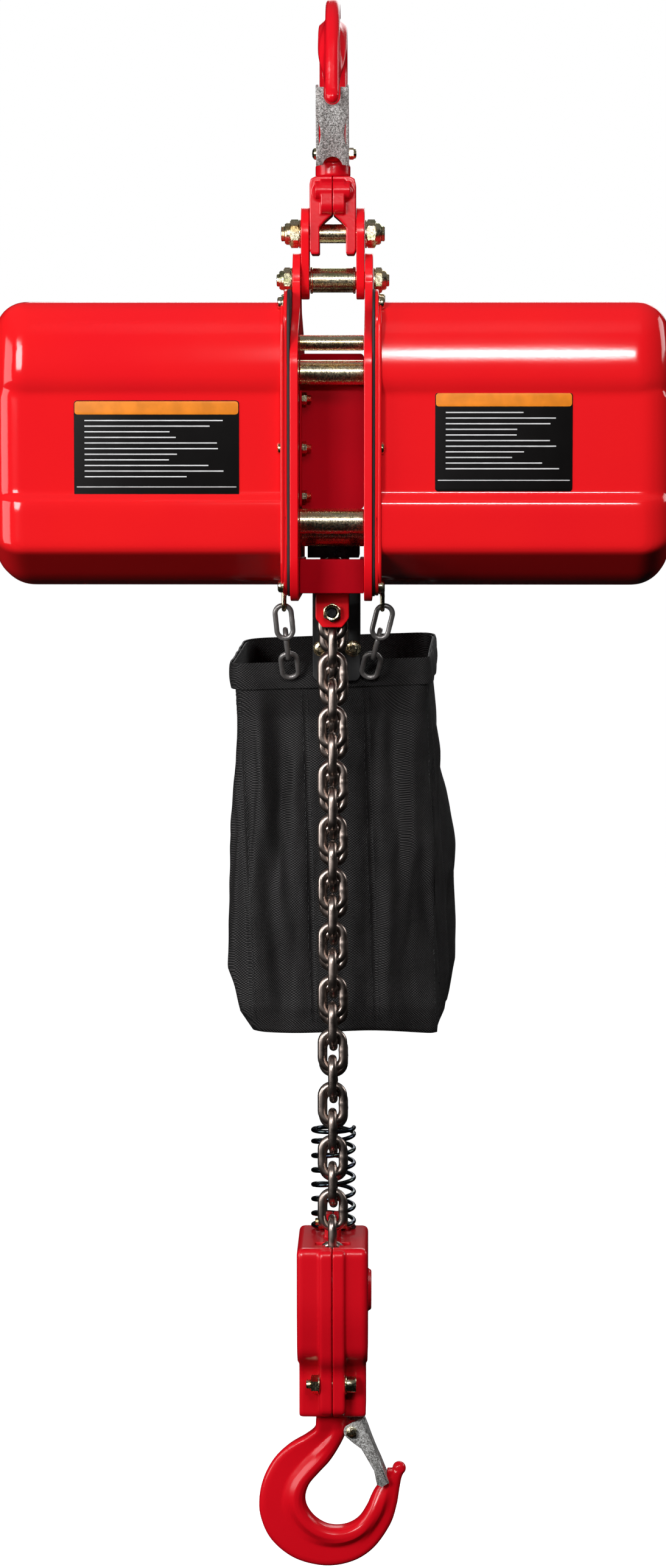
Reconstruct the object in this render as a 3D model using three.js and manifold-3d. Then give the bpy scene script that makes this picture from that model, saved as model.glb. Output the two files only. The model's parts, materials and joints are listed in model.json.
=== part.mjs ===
// Electric chain hoist, two falls of 7.1 mm chain, hung from a swivel hook.
// Millimetres. +Z up, +X to the gearbox side, +Y to the rear. Origin: the load seat inside the top hook.

import * as THREE from "three";
import { mergeVertices } from "three/addons/utils/BufferGeometryUtils.js";
import Module from "manifold-3d";

const wasm = await Module();
wasm.setup();

// ---------------------------------------------------------------- driving dimensions

const GAP = 0.3; // left between pieces that touch

const CHAIN_PITCH = 21;
const LOAD_CHAIN = { wire: 7.1, width: 23.5, pitch: CHAIN_PITCH };
const BAG_CHAIN = { wire: 4, width: 16.6, pitch: 22.5 };
const SEGMENTS = 3; // each fall is made of this many groups of links
const LINKS_PER_SEGMENT = 8;
const SEGMENT_GAP = 0.9; // the last link of a group is this much longer, to stay clear of the next group
const IDLER_PITCHES = 8; // chain pitches round the idler sheave
const SHEAVE_PITCHES = 10; // chain pitches round the load sheave
const IDLER_RADIUS = CHAIN_PITCH / (2 * Math.sin(Math.PI / IDLER_PITCHES));
const SHEAVE_RADIUS = CHAIN_PITCH / (2 * Math.sin(Math.PI / SHEAVE_PITCHES));
const FALL_Y = IDLER_RADIUS; // the two falls hang at -FALL_Y and +FALL_Y

const HOOK = {
  bowl: 24.6, // inner radius, and the depth of the seat below the bowl's centre
  shankOffset: 3.3, // the shank's axis stands this far behind the bowl's centre
  web: 11,
  webTop: 66,
  bead: 22,
  collar: [70, 79.4, 13.5], // from, to and radius, up the shank from the bowl's centre
  shankRadius: 9.8,
  shankEnd: 104,
};
const TOP_HOOK_Z = -HOOK.bowl;
const BOTTOM_HOOK_Z = -1140.4;

// A latch turns on its pivot and closes the mouth with its free end, both placed from the bowl's centre.
const TOP_LATCH = { pivot: [13, 62.5], freeEnd: [36.5, 12] };
const BOTTOM_LATCH = { pivot: [11.5, 54.6], freeEnd: [35.6, 9.4] };
const LATCH = { width: 25.2, sheet: 2.4, notch: 13.4, waist: 16 };
const EAR = { radius: 5.5, width: 9 };

const CLEVIS = { top: -104, bottom: -163.4, halfWidth: 17.8, halfDepth: 19, fork: 10.2 };
const UPPER_PIN_Z = -147;
const LOWER_PIN_Z = -182.6;
const PIN_RADIUS = 7.3;
const LINK_PLATE = { inner: 18.1, outer: 24.4, topRadius: 20, bottomRadius: 14.8 };

const PLATE = { inner: 24.7, outer: 30.9, top: -192.7, bottom: -427, front: -106, rear: 126 };
const RODS = {
  tie_rod_top_front: { y: -74, z: -232.5, radius: 5.8 },
  tie_rod_top_rear: { y: -60, z: -254.5, radius: 9.3 },
  tie_rod_bottom_front: { y: -68, z: -367, radius: 9.6 },
  tie_rod_bottom_rear: { y: -12, z: -378, radius: 9.5 },
};
const FLANGE = { inner: 32.9, outer: 35.4 }; // a 1.6 mm gasket lies between it and the side plate
const COVER = { end: 256.5, top: -201, bottom: -417.3, front: -98, rear: 118, wall: 3 };
const RECESS = { top: -269, bottom: -349, depth: 5 }; // the band between the two bulges

const MOTOR = { y: -29, z: -300, statorRadius: 60, rotorRadius: 38 }; // well forward, to balance the bag
const SHEAVE = { y: FALL_Y + SHEAVE_RADIUS, z: -310 };
const GEARS = {
  pinionTeeth: 8,
  wheelTeeth: 36,
  firstModule: 2,
  secondModule: 2.25,
  firstPlane: [52, 64],
  secondPlane: [68, 84],
};

const LIVE_FALL_Z = -434.9; // centre of the live fall's first free link
const DEAD_FALL_Z = -442.9; // centre of the dead fall's first link, on the anchor bolt
const ANCHOR_BOLT_Z = -437.4;
const IDLER_Z = -974.4;
const BLOCK = { top: -932, shoulder: -1018, bottom: -1072, halfWidth: 27.6, neckWidth: 26.2 };

const BAG = { rim: -478, bottom: -781, front: 58, rear: 192, left: -83, right: 81, wall: 2.5, corner: 24 };
const BAG_SAG = { wider: 0.155, deeper: 0.02, skew: 10, tuck: 0.13, tuckFrom: 0.9 }; // when filled
const GLAND = { x: 150, z: -385 };

// ---------------------------------------------------------------- materials

const COLOURS = {
  red_paint: ["#d91a1c", 0.25, 0.1],
  dark_red_paint: ["#b01418", 0.35, 0.1],
  zinc_yellow: ["#c9a24b", 0.3, 0.9],
  zinc_grey: ["#9c9c98", 0.45, 0.8],
  chain_steel: ["#3b332e", 0.3, 0.9],
  black_steel: ["#17181a", 0.35, 0.8],
  machined_steel: ["#8f9296", 0.3, 0.9],
  laminations: ["#6d6f72", 0.5, 0.8],
  cast_aluminium: ["#a5a6a8", 0.5, 0.8],
  black_plastic: ["#151515", 0.5, 0],
  black_fabric: ["#101012", 0.85, 0],
};

function material(name) {
  const [color, roughness, metalness] = COLOURS[name];
  return new THREE.MeshStandardMaterial({ name, color, roughness, metalness });
}

const hoist = new THREE.Group();
hoist.name = "electric_chain_hoist";

function add(name, geometry, materialName) {
  const mesh = new THREE.Mesh(geometry, material(materialName));
  mesh.name = name;
  hoist.add(mesh);
}

// ---------------------------------------------------------------- joining and cutting

function toSolid(geometry) {
  const bare = geometry.clone();
  bare.deleteAttribute("normal");
  bare.deleteAttribute("uv");
  const merged = mergeVertices(bare, 1e-4);
  return new wasm.Manifold(
    new wasm.Mesh({
      numProp: 3,
      vertProperties: new Float32Array(merged.attributes.position.array),
      triVerts: new Uint32Array(merged.index.array),
    }),
  );
}

function toGeometry(solid) {
  const mesh = solid.getMesh();
  const geometry = new THREE.BufferGeometry();
  geometry.setAttribute("position", new THREE.BufferAttribute(mesh.vertProperties, 3));
  geometry.setIndex(new THREE.BufferAttribute(mesh.triVerts, 1));
  geometry.computeVertexNormals();
  return geometry;
}

function join(...pieces) {
  return toGeometry(pieces.map(toSolid).reduce((whole, piece) => whole.add(piece)));
}

function cut(base, ...tools) {
  return toGeometry(tools.map(toSolid).reduce((left, tool) => left.subtract(tool), toSolid(base)));
}

// The same piece on the other side of the hoist's centre plane, with its faces turned to point out again.
function mirrorX(geometry) {
  const mirrored = geometry.clone().scale(-1, 1, 1);
  const corners = mirrored.index.array;
  for (let i = 0; i < corners.length; i += 3) [corners[i], corners[i + 1]] = [corners[i + 1], corners[i]];
  mirrored.computeVertexNormals();
  return mirrored;
}

// ---------------------------------------------------------------- basic shapes

function box([x0, x1], [y0, y1], [z0, z1]) {
  const block = new THREE.BoxGeometry(x1 - x0, y1 - y0, z1 - z0);
  return block.translate((x0 + x1) / 2, (y0 + y1) / 2, (z0 + z1) / 2);
}

// Cylinders along an axis, from one end to the other, through the point given by the other two coordinates.
function rodX(radius, x0, x1, y, z, sides = 16) {
  const rod = new THREE.CylinderGeometry(radius, radius, x1 - x0, sides);
  return rod.rotateZ(-Math.PI / 2).translate((x0 + x1) / 2, y, z);
}

function rodY(radius, y0, y1, x, z, sides = 16) {
  return new THREE.CylinderGeometry(radius, radius, y1 - y0, sides).translate(x, (y0 + y1) / 2, z);
}

function rodZ(radius, z0, z1, x, y, sides = 16) {
  const rod = new THREE.CylinderGeometry(radius, radius, z1 - z0, sides);
  return rod.rotateX(Math.PI / 2).translate(x, y, (z0 + z1) / 2);
}

function hexRadius(acrossFlats) {
  return acrossFlats / Math.sqrt(3);
}

function outline(points) {
  return new THREE.Shape(points.map(([a, b]) => new THREE.Vector2(a, b)));
}

function roundedRectangle([a0, a1], [b0, b1], radius) {
  const shape = new THREE.Shape();
  shape.moveTo(a0 + radius, b0);
  shape.absarc(a1 - radius, b0 + radius, radius, -Math.PI / 2, 0);
  shape.absarc(a1 - radius, b1 - radius, radius, 0, Math.PI / 2);
  shape.absarc(a0 + radius, b1 - radius, radius, Math.PI / 2, Math.PI);
  shape.absarc(a0 + radius, b0 + radius, radius, Math.PI, Math.PI * 1.5);
  return shape;
}

// Two discs and the sides that join them, in a vertical line.
function twoDiscs(top, topRadius, bottom, bottomRadius) {
  const lean = Math.asin((topRadius - bottomRadius) / (top - bottom));
  const shape = new THREE.Shape();
  shape.absarc(0, top, topRadius, -lean, Math.PI + lean);
  shape.absarc(0, bottom, bottomRadius, Math.PI + lean, 2 * Math.PI - lean);
  return shape;
}

const ALONG_X = new THREE.Matrix4().set(0, 0, 1, 0, 1, 0, 0, 0, 0, 1, 0, 0, 0, 0, 0, 1);
const ALONG_Y = new THREE.Matrix4().set(1, 0, 0, 0, 0, 0, -1, 0, 0, 1, 0, 0, 0, 0, 0, 1);

function extrude(shape, depth, { curveSegments = 4, bevel = 0, bevelSegments = 1, steps = 1 } = {}) {
  return new THREE.ExtrudeGeometry(shape, {
    depth: depth - 2 * bevel,
    steps,
    curveSegments,
    bevelEnabled: bevel > 0,
    bevelThickness: bevel,
    bevelSize: bevel,
    bevelOffset: -bevel,
    bevelSegments,
  }).translate(0, 0, bevel);
}

// A shape drawn in (Y, Z), from x0 to x1.
function extrudeX(shape, x0, x1, options) {
  return extrude(shape, x1 - x0, options).applyMatrix4(ALONG_X).translate(x0, 0, 0);
}

// A shape drawn in (X, Z), from y0 to y1.
function extrudeY(shape, y0, y1, options) {
  return extrude(shape, y1 - y0, options).applyMatrix4(ALONG_Y).translate(0, y1, 0);
}

// A profile of [radius, height] points turned about the vertical axis through (x, y).
function turnedZ(profile, x, y, sides = 20) {
  const points = profile.map(([radius, height]) => new THREE.Vector2(radius, height));
  return new THREE.LatheGeometry(points, sides).rotateX(Math.PI / 2).translate(x, y, 0);
}

// A profile of [radius, x] points turned about the X-wise axis through (y, z).
function turnedX(profile, y, z, sides = 20) {
  const points = profile.map(([radius, x]) => new THREE.Vector2(radius, x));
  return new THREE.LatheGeometry(points, sides).rotateZ(-Math.PI / 2).translate(0, y, z);
}

// A closed ring profile: inner and outer radius, from and to.
function ring(inner, outer, from, to) {
  return [
    [inner, from],
    [outer, from],
    [outer, to],
    [inner, to],
    [inner, from],
  ];
}

// ---------------------------------------------------------------- chain

// One link: a ring stretched along its own Z, lying in its XZ plane. extra lengthens its lower end.
function link(wire, width, pitch, extra = 0) {
  const around = 8;
  const crown = (width - wire) / 2;
  const swell = 1.11; // a four-sided wire this much fatter has the round wire's contact and most of its mass
  const geometry = new THREE.TorusGeometry(
    crown / Math.cos(Math.PI / around),
    (wire / 2) * swell,
    4,
    around,
  );
  geometry.rotateZ(Math.PI / around).rotateX(Math.PI / 2);
  const stretch = (pitch + wire) / 2 - crown;
  const position = geometry.attributes.position;
  for (let i = 0; i < position.count; i += 1) {
    const z = position.getZ(i);
    position.setZ(i, z + (z > 0 ? stretch : -stretch - extra));
  }
  return geometry;
}

// Links along a route. place(i) gives link i's centre and its lean about X. Even links face the front, or
// odd ones where the first link is edge-on. gapBelow lengthens the last link.
function chain(count, place, { wire, width, pitch }, { edgeOn = false, gapBelow = 0 } = {}) {
  const links = [];
  for (let i = 0; i < count; i += 1) {
    const { x = 0, y, z, lean = 0, twist = 0 } = place(i);
    const piece = link(wire, width, pitch, i === count - 1 ? gapBelow : 0);
    if ((i % 2 === 1) !== edgeOn) piece.rotateZ(Math.PI / 2);
    links.push(piece.rotateX(lean).rotateY(twist).translate(x, y, z));
  }
  return join(...links);
}

function straightFall(name, y, topZ, edgeOn) {
  for (let segment = 0; segment < SEGMENTS; segment += 1) {
    const start = segment * LINKS_PER_SEGMENT;
    const place = (i) => ({ y, z: topZ - (start + i) * CHAIN_PITCH });
    const links = chain(LINKS_PER_SEGMENT, place, LOAD_CHAIN, { edgeOn, gapBelow: SEGMENT_GAP });
    add(`${name}_${segment + 1}`, links, "chain_steel");
  }
}

// The chain's two half circles: over the load sheave, and, drawn upside down, under the idler sheave.
const OVER_SHEAVE = {
  ...SHEAVE,
  radius: SHEAVE_RADIUS,
  pitches: SHEAVE_PITCHES,
  rise: SHEAVE.z - LIVE_FALL_Z - CHAIN_PITCH,
};
const UNDER_IDLER = {
  y: 0,
  z: -IDLER_Z,
  radius: IDLER_RADIUS,
  pitches: IDLER_PITCHES,
  rise: DEAD_FALL_Z - SEGMENTS * LINKS_PER_SEGMENT * CHAIN_PITCH - IDLER_Z,
};

// A point on a route that rises along one side, goes over a half circle and comes down the other side.
// The half circle is as long as the whole chain pitches whose chords fit round it.
function overHalfCircle(distance, { y, z, radius, pitches, rise }) {
  const arc = (pitches / 2) * CHAIN_PITCH;
  if (distance < rise) return [y - radius, z - rise + distance];
  if (distance > rise + arc) return [y + radius, z - (distance - rise - arc)];
  const angle = (Math.PI * (distance - rise)) / arc;
  return [y - radius * Math.cos(angle), z + radius * Math.sin(angle)];
}

// The link whose two ends are on the route, half a pitch before and after the given distance.
function linkOnRoute(distance, route) {
  const [y0, z0] = overHalfCircle(distance - CHAIN_PITCH / 2, route);
  const [y1, z1] = overHalfCircle(distance + CHAIN_PITCH / 2, route);
  return { y: (y0 + y1) / 2, z: (z0 + z1) / 2, lean: Math.atan2(y0 - y1, z1 - z0) };
}

function addLoadChain() {
  straightFall("dead_fall", -FALL_Y, DEAD_FALL_Z, false);
  straightFall("live_fall", FALL_Y, LIVE_FALL_Z, true);

  // The live fall goes on up into the body, over the load sheave and down into the bag. The links are made
  // from the slack end, so that the lengthened last link is the one that meets the live fall.
  const overSheave = 19;
  const fromSlackEnd = (i) => linkOnRoute((overSheave - 1 - i) * CHAIN_PITCH, OVER_SHEAVE);
  const slackAndSheave = chain(overSheave, fromSlackEnd, LOAD_CHAIN, { gapBelow: SEGMENT_GAP });
  add("chain_over_sheave", slackAndSheave, "chain_steel");

  // Round the idler in the block, from the dead fall's side to the live fall's side. The route is the same
  // kind, upside down.
  const inBlock = 8;
  const fromDeadFall = (i) => {
    const { y, z, lean } = linkOnRoute(i * CHAIN_PITCH, UNDER_IDLER);
    return { y, z: -z, lean: -lean };
  };
  add("chain_in_block", chain(inBlock, fromDeadFall, LOAD_CHAIN), "chain_steel");

  // What the bag holds: a heap with the steel volume of about 2 m of chain.
  const heap = new THREE.SphereGeometry(1, 12, 6).scale(56, 42, 31);
  add("slack_chain", heap.translate(8, 124, BAG.bottom + 38), "chain_steel");
}

// ---------------------------------------------------------------- hooks and latches

// Hook outlines are drawn round the centre of the bowl, with the shank up and the tip to the right.
function hookWeb() {
  const shape = new THREE.Shape();
  shape.moveTo(-HOOK.shankOffset - 13.5, HOOK.webTop);
  shape.lineTo(-17, 55);
  shape.splineThru(
    [
      [-38, 41.5],
      [-56, 21],
      [-62, -3],
      [-57, -29],
      [-38, -49],
      [-10, -57],
      [19, -50],
      [39, -31],
      [48, -6],
      [50, 11],
      [54.5, 23],
    ].map(([a, b]) => new THREE.Vector2(a, b)),
  );
  shape.absarc(50, 24, 4.4, 0, Math.PI * 0.75);
  shape.lineTo(38.5, 15);
  shape.lineTo(32, 9);
  shape.splineThru(
    [
      [25.5, -3],
      [18.5, -17],
      [7, -HOOK.bowl],
    ].map(([a, b]) => new THREE.Vector2(a, b)),
  );
  shape.lineTo(-7, -HOOK.bowl);
  shape.splineThru(
    [
      [-20, -15],
      [-25, 0],
      [-19, 14],
      [-6, 28],
      [4, 43],
      [10.2, 56],
    ].map(([a, b]) => new THREE.Vector2(a, b)),
  );
  shape.lineTo(-HOOK.shankOffset + 13.5, HOOK.webTop);
  return extrude(shape, HOOK.web, { curveSegments: 1, bevel: 1.5 }).translate(0, 0, -HOOK.web / 2);
}

// The thicker rim inside the bowl, where the load rests.
function hookBead() {
  const outer = [
    [35.5, 6],
    [38, -2],
    [33, -20],
    [20, -34],
    [2, -40.5],
    [-19, -37],
    [-35, -23],
    [-41, -4],
    [-36, 14],
    [-24, 29],
    [-12, 41],
    [-14, 62],
  ];
  const inner = [
    [7, 62],
    [4, 43],
    [-6, 28],
    [-19, 14],
    [-25, 0],
    [-20, -15],
    [-7, -HOOK.bowl],
    [7, -HOOK.bowl],
    [18.5, -17],
    [25.5, -3],
    [28, 1.5],
  ];
  const shape = outline([...outer, ...inner]);
  return extrude(shape, HOOK.bead, { bevel: 3.5 }).translate(0, 0, -HOOK.bead / 2);
}

function hookShank() {
  const [from, to, radius] = HOOK.collar;
  const profile = [
    [0, 44],
    [10.5, 44],
    [11.5, from],
    [radius, from],
    [radius, to],
    [HOOK.shankRadius, to],
    [HOOK.shankRadius, HOOK.shankEnd],
    [0, HOOK.shankEnd],
  ].map(([r, v]) => new THREE.Vector2(r, v));
  return new THREE.LatheGeometry(profile, 14).translate(-HOOK.shankOffset, 0, 0);
}

// The ear that carries the latch's bolt.
function latchEar([pivotX, pivotY]) {
  const { radius, width } = EAR;
  const ear = new THREE.CylinderGeometry(radius, radius, width, 12).rotateX(Math.PI / 2);
  const root = new THREE.BoxGeometry(14, 10, width).translate(-6, 0, 0);
  return join(ear, root).translate(pivotX, pivotY, 0);
}

function hook(pivot) {
  return join(hookWeb(), hookBead(), hookShank(), latchEar(pivot));
}

// A pressed channel that closes the hook's mouth, drawn from its pivot along to its free end, outer side up.
function latch({ pivot, freeEnd }) {
  const { width, sheet } = LATCH;
  const length = Math.hypot(freeEnd[0] - pivot[0], freeEnd[1] - pivot[1]);
  const cheek = outline([
    [-4, 12.5],
    [-6, 5],
    [-5, -4],
    [2, -6.5],
    [16, 0.4],
    [length - 15, 0.8],
    [length - 3, -2.5],
    [length, 0],
    [length - 1, 6],
    [length - 7, 7.2],
  ]);
  const web = outline([
    [-4, 12.5],
    [-4.2, 10.2],
    [length - 7, 4.9],
    [length - 0.5, 3.8],
    [length - 1, 6],
    [length - 7, 7.2],
  ]);
  const cheeks = [-width / 2, width / 2 - sheet].map((w) => extrude(cheek, sheet).translate(0, 0, w));
  const front = extrude(web, width).translate(0, 0, -width / 2);

  // A notch lets the hook's tip in, a round throat clears the ear, and both sides narrow to a waist.
  const notch = new THREE.BoxGeometry(16, 30, LATCH.notch).translate(length - 5, 5, 0);
  const throat = new THREE.CylinderGeometry(6.5, 6.5, 60, 12).translate(-4, 0, 0);
  const waists = [-1, 1].map((side) => {
    const bite = new THREE.CylinderGeometry(LATCH.waist, LATCH.waist, 60, 20);
    return bite.translate(length * 0.42, 36, side * (width / 2 + LATCH.waist - 1));
  });
  const shape = cut(join(...cheeks, front), notch, throat, ...waists);
  const angle = Math.atan2(freeEnd[1] - pivot[1], freeEnd[0] - pivot[0]);
  return shape.rotateZ(angle).translate(...pivot, 0);
}

// The places of a drawn hook's three directions in the hoist: the top hook opens to the front, the bottom
// one to the right.
function hang([across, along, through], offset) {
  const place = new THREE.Matrix4().makeBasis(
    new THREE.Vector3(...across),
    new THREE.Vector3(...along),
    new THREE.Vector3(...through),
  );
  return place.setPosition(...offset);
}

function addHooks() {
  const up = hang([[0, -1, 0], [0, 0, -1], [1, 0, 0]], [0, -HOOK.shankOffset, TOP_HOOK_Z]);
  const down = hang([[1, 0, 0], [0, 0, 1], [0, -1, 0]], [HOOK.shankOffset, 0, BOTTOM_HOOK_Z]);
  for (const [name, place, parts] of [
    ["top_hook", up, TOP_LATCH],
    ["bottom_hook", down, BOTTOM_LATCH],
  ]) {
    add(name, hook(parts.pivot).applyMatrix4(place), "red_paint");
    add(`${name}_latch`, latch(parts).applyMatrix4(place), "zinc_grey");
  }
}

// A collar nut that holds a hook's shank in its swivel, just short of the shank's end.
function shankNut(endZ, side) {
  const from = endZ - side * 1;
  const to = endZ - side * 9;
  return turnedZ(ring(HOOK.shankRadius + 0.2, 14.5, Math.min(from, to), Math.max(from, to)), 0, 0);
}

// ---------------------------------------------------------------- suspension

function clevisHalf(side) {
  const half = CLEVIS.halfWidth;
  const profile = outline(
    [
      [GAP / 2, CLEVIS.top],
      [half - 3, CLEVIS.top],
      [half, CLEVIS.top - 3],
      [half, CLEVIS.bottom + 2],
      [half - 2, CLEVIS.bottom],
      [CLEVIS.fork + 1.5, CLEVIS.bottom],
      [CLEVIS.fork, CLEVIS.bottom + 1.5],
      [CLEVIS.fork, UPPER_PIN_Z + 4],
      [3, UPPER_PIN_Z + 12],
      [GAP / 2, UPPER_PIN_Z + 14],
    ].map(([x, z]) => [side * x, z]),
  );
  const body = extrudeY(profile, -CLEVIS.halfDepth, CLEVIS.halfDepth, { bevel: 1.5 });
  const [ribFrom, ribTo] = side > 0 ? [GAP / 2, 9.6] : [-9.6, -GAP / 2];
  const rib = extrudeX(roundedRectangle([-26, 26], [-134, -106], 6), ribFrom, ribTo);
  const shankEnd = TOP_HOOK_Z - HOOK.shankEnd;
  const otherSide = side > 0 ? [-40, GAP / 2] : [-GAP / 2, 40];
  return cut(
    join(body, rib),
    rodZ(HOOK.shankRadius + 0.5, CLEVIS.top - 20, CLEVIS.top + 5, 0, 0),
    rodZ(15.2, shankEnd - 1.5, CLEVIS.top - 13.5, 0, 0),
    rodX(PIN_RADIUS + 0.15, -30, 30, 0, UPPER_PIN_Z),
    box(otherSide, [-40, 40], [-200, -90]),
  );
}

function pin(z, shankEnd, threadRadius, threadEnd) {
  return join(
    rodX(PIN_RADIUS, -shankEnd, shankEnd, 0, z, 20),
    rodX(threadRadius, -threadEnd, threadEnd, 0, z, 14),
  );
}

// A prevailing-torque nut with its round crown, threaded on the pin's end.
function pinNut(side, z, face, acrossFlats, height, bore) {
  const hex = rodX(hexRadius(acrossFlats), face, face + height * 0.68, 0, z, 6);
  const crown = rodX(acrossFlats * 0.44, face + height * 0.6, face + height, 0, z, 14);
  const washer = rodX(acrossFlats * 0.58, face, face + 1.6, 0, z, 18);
  const nut = cut(join(hex, crown, washer), rodX(bore, face - 5, face + height + 5, 0, z, 14));
  return side > 0 ? nut : nut.rotateZ(Math.PI);
}

function linkPlate(side) {
  const shape = twoDiscs(UPPER_PIN_Z, LINK_PLATE.topRadius, LOWER_PIN_Z, LINK_PLATE.bottomRadius);
  const [from, to] =
    side > 0 ? [LINK_PLATE.inner, LINK_PLATE.outer] : [-LINK_PLATE.outer, -LINK_PLATE.inner];
  const hole = PIN_RADIUS + 0.15;
  return cut(
    extrudeX(shape, from, to, { curveSegments: 5, bevel: 0.8 }),
    rodX(hole, -40, 40, 0, UPPER_PIN_Z),
    rodX(hole, -40, 40, 0, LOWER_PIN_Z),
  );
}

function addSuspension() {
  for (const [name, side] of [
    ["left", -1],
    ["right", 1],
  ]) {
    add(`clevis_${name}`, clevisHalf(side), "red_paint");
    add(`link_plate_${name}`, linkPlate(side), "red_paint");
    add(
      `upper_pin_nut_${name}`,
      pinNut(side, UPPER_PIN_Z, LINK_PLATE.outer + GAP, 19, 12.4, 6.3),
      "zinc_yellow",
    );
    add(
      `lower_pin_nut_${name}`,
      pinNut(side, LOWER_PIN_Z, PLATE.outer + GAP, 17, 10.2, 5.3),
      "zinc_yellow",
    );
  }
  add("top_hook_nut", shankNut(TOP_HOOK_Z - HOOK.shankEnd, -1), "machined_steel");
  add("upper_pin", pin(UPPER_PIN_Z, LINK_PLATE.outer, 6, 40), "zinc_yellow");
  add("lower_pin", pin(LOWER_PIN_Z, PLATE.outer, 5, 43.5), "zinc_yellow");
  add(
    "lower_pin_sleeve",
    turnedX(ring(PIN_RADIUS + 0.3, 9.5, -LINK_PLATE.inner + GAP, LINK_PLATE.inner - GAP), 0, LOWER_PIN_Z),
    "zinc_yellow",
  );
}

// ---------------------------------------------------------------- frame between the covers

function sidePlate(side) {
  const ear = 20.8;
  const shape = new THREE.Shape();
  shape.absarc(0, LOWER_PIN_Z, ear, -0.15, Math.PI + 0.15);
  for (const [y, z] of [
    [-30, -205],
    [PLATE.front + 14, -226],
    [PLATE.front, -240],
    [PLATE.front, PLATE.bottom + 22],
    [PLATE.front + 14, PLATE.bottom],
    [PLATE.rear - 14, PLATE.bottom],
    [PLATE.rear, PLATE.bottom + 22],
    [PLATE.rear, -240],
    [PLATE.rear - 14, -226],
    [30, -205],
  ])
    shape.lineTo(y, z);
  const [from, to] = side > 0 ? [PLATE.inner, PLATE.outer] : [-PLATE.outer, -PLATE.inner];
  const pinHole = rodX(PIN_RADIUS + 0.15, -60, 60, 0, LOWER_PIN_Z);
  const sheaveHole = rodX(17, -60, 60, SHEAVE.y, SHEAVE.z);
  const motorHole = rodX(12.5, -60, 60, MOTOR.y, MOTOR.z);
  const plate = extrudeX(shape, from, to, { curveSegments: 5, bevel: 0.7 });
  return cut(plate, pinHole, sheaveHole, motorHole);
}

function addFrame() {
  add("side_plate_left", sidePlate(-1), "red_paint");
  add("side_plate_right", sidePlate(1), "red_paint");
  for (const [name, { y, z, radius }] of Object.entries(RODS)) {
    const end = PLATE.inner - GAP;
    add(name, rodX(radius, -end, end, y, z), "zinc_yellow");
  }

  // The guard is a bent sheet whose left edge is folded forward against the side plate.
  const inside = PLATE.inner - GAP;
  const guard = join(
    box([-inside, inside], [-47.5, -46], [-358, -240]),
    box([-inside, -inside + 1.5], [-62, -46], [-356, -268]),
  );
  add("guard_panel", guard, "dark_red_paint");

  // Two curved horns that lead the live fall and the slack fall on and off the load sheave.
  const guide = cut(
    box([-20, 20], [FALL_Y - 16, SHEAVE.y + SHEAVE_RADIUS + 16], [-397, -386]),
    box([-13.5, 13.5], [FALL_Y - 5.5, SHEAVE.y + SHEAVE_RADIUS + 5.5], [-400, -380]),
    box([-5.5, 5.5], [FALL_Y - 13.5, SHEAVE.y + SHEAVE_RADIUS + 13.5], [-400, -380]),
  );
  add("chain_guide", guide, "black_steel");
}

function addAnchor() {
  const inside = PLATE.inner - GAP;
  const slot = LOAD_CHAIN.wire / 2 + 1.2;
  const beam = box([-inside, inside], [-62, 8], [-422, -396]);
  const head = outline([
    [-12.9, -400],
    [-12.9, -442],
    [-7.5, -449],
    [7.5, -449],
    [12.9, -442],
    [12.9, -400],
  ]);
  const clevis = extrudeY(head, -FALL_Y - 11, -FALL_Y + 11, { bevel: 0.8 });
  const hollow = join(
    box([-21, 21], [-56, 14], [-418, -380]),
    box([-14, 14], [-FALL_Y - slot, -FALL_Y + slot], [-460, -412]),
    box([-slot, slot], [-FALL_Y - 9, -FALL_Y + 9], [-460, -444]),
  );
  const boltHole = rodY(4.2, -60, 20, 0, ANCHOR_BOLT_Z, 12);
  add("anchor_beam", cut(join(beam, clevis), hollow, boltHole), "red_paint");
  const front = -FALL_Y - 11 - GAP;
  const rear = -FALL_Y + 11 + GAP;
  add(
    "anchor_bolt",
    join(
      rodY(4, front - 10, rear + 6, 0, ANCHOR_BOLT_Z, 12),
      rodY(hexRadius(13), rear, rear + 5.5, 0, ANCHOR_BOLT_Z, 6),
    ),
    "black_steel",
  );
  const nut = join(
    rodY(hexRadius(13), front - 6, front, 0, ANCHOR_BOLT_Z, 6),
    rodY(5.6, front - 8, front, 0, ANCHOR_BOLT_Z, 12),
  );
  add("anchor_nut", cut(nut, rodY(4.2, front - 12, front + 2, 0, ANCHOR_BOLT_Z, 12)), "zinc_yellow");
}

// ---------------------------------------------------------------- covers

// One bulge of a cover, as a bar along X with rounded long edges and a rounded outer end.
function bulge(from, to, [y0, y1], [z0, z1], corner, endRadius) {
  const shape = roundedRectangle([y0, y1], [z0, z1], corner);
  return extrudeX(shape, from - endRadius, to, { curveSegments: 3, bevel: endRadius, bevelSegments: 2 });
}

// The cover's solid outline, shrunk by inset.
function coverMass(inset) {
  const y = [COVER.front + inset, COVER.rear - inset];
  const top = COVER.top - inset;
  const bottom = COVER.bottom + inset;
  const end = COVER.end - inset;
  const corner = 23 - inset;
  const band = [y[0] + RECESS.depth, y[1] - RECESS.depth];
  const from = FLANGE.outer - 30;
  return join(
    bulge(from, end, y, [RECESS.top + inset, top], corner, 22 - inset),
    bulge(from, end, y, [bottom, RECESS.bottom - inset], corner, 22 - inset),
    bulge(from, end - RECESS.depth, band, [bottom + 6, top - 6], corner, 20 - inset),
  );
}

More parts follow.
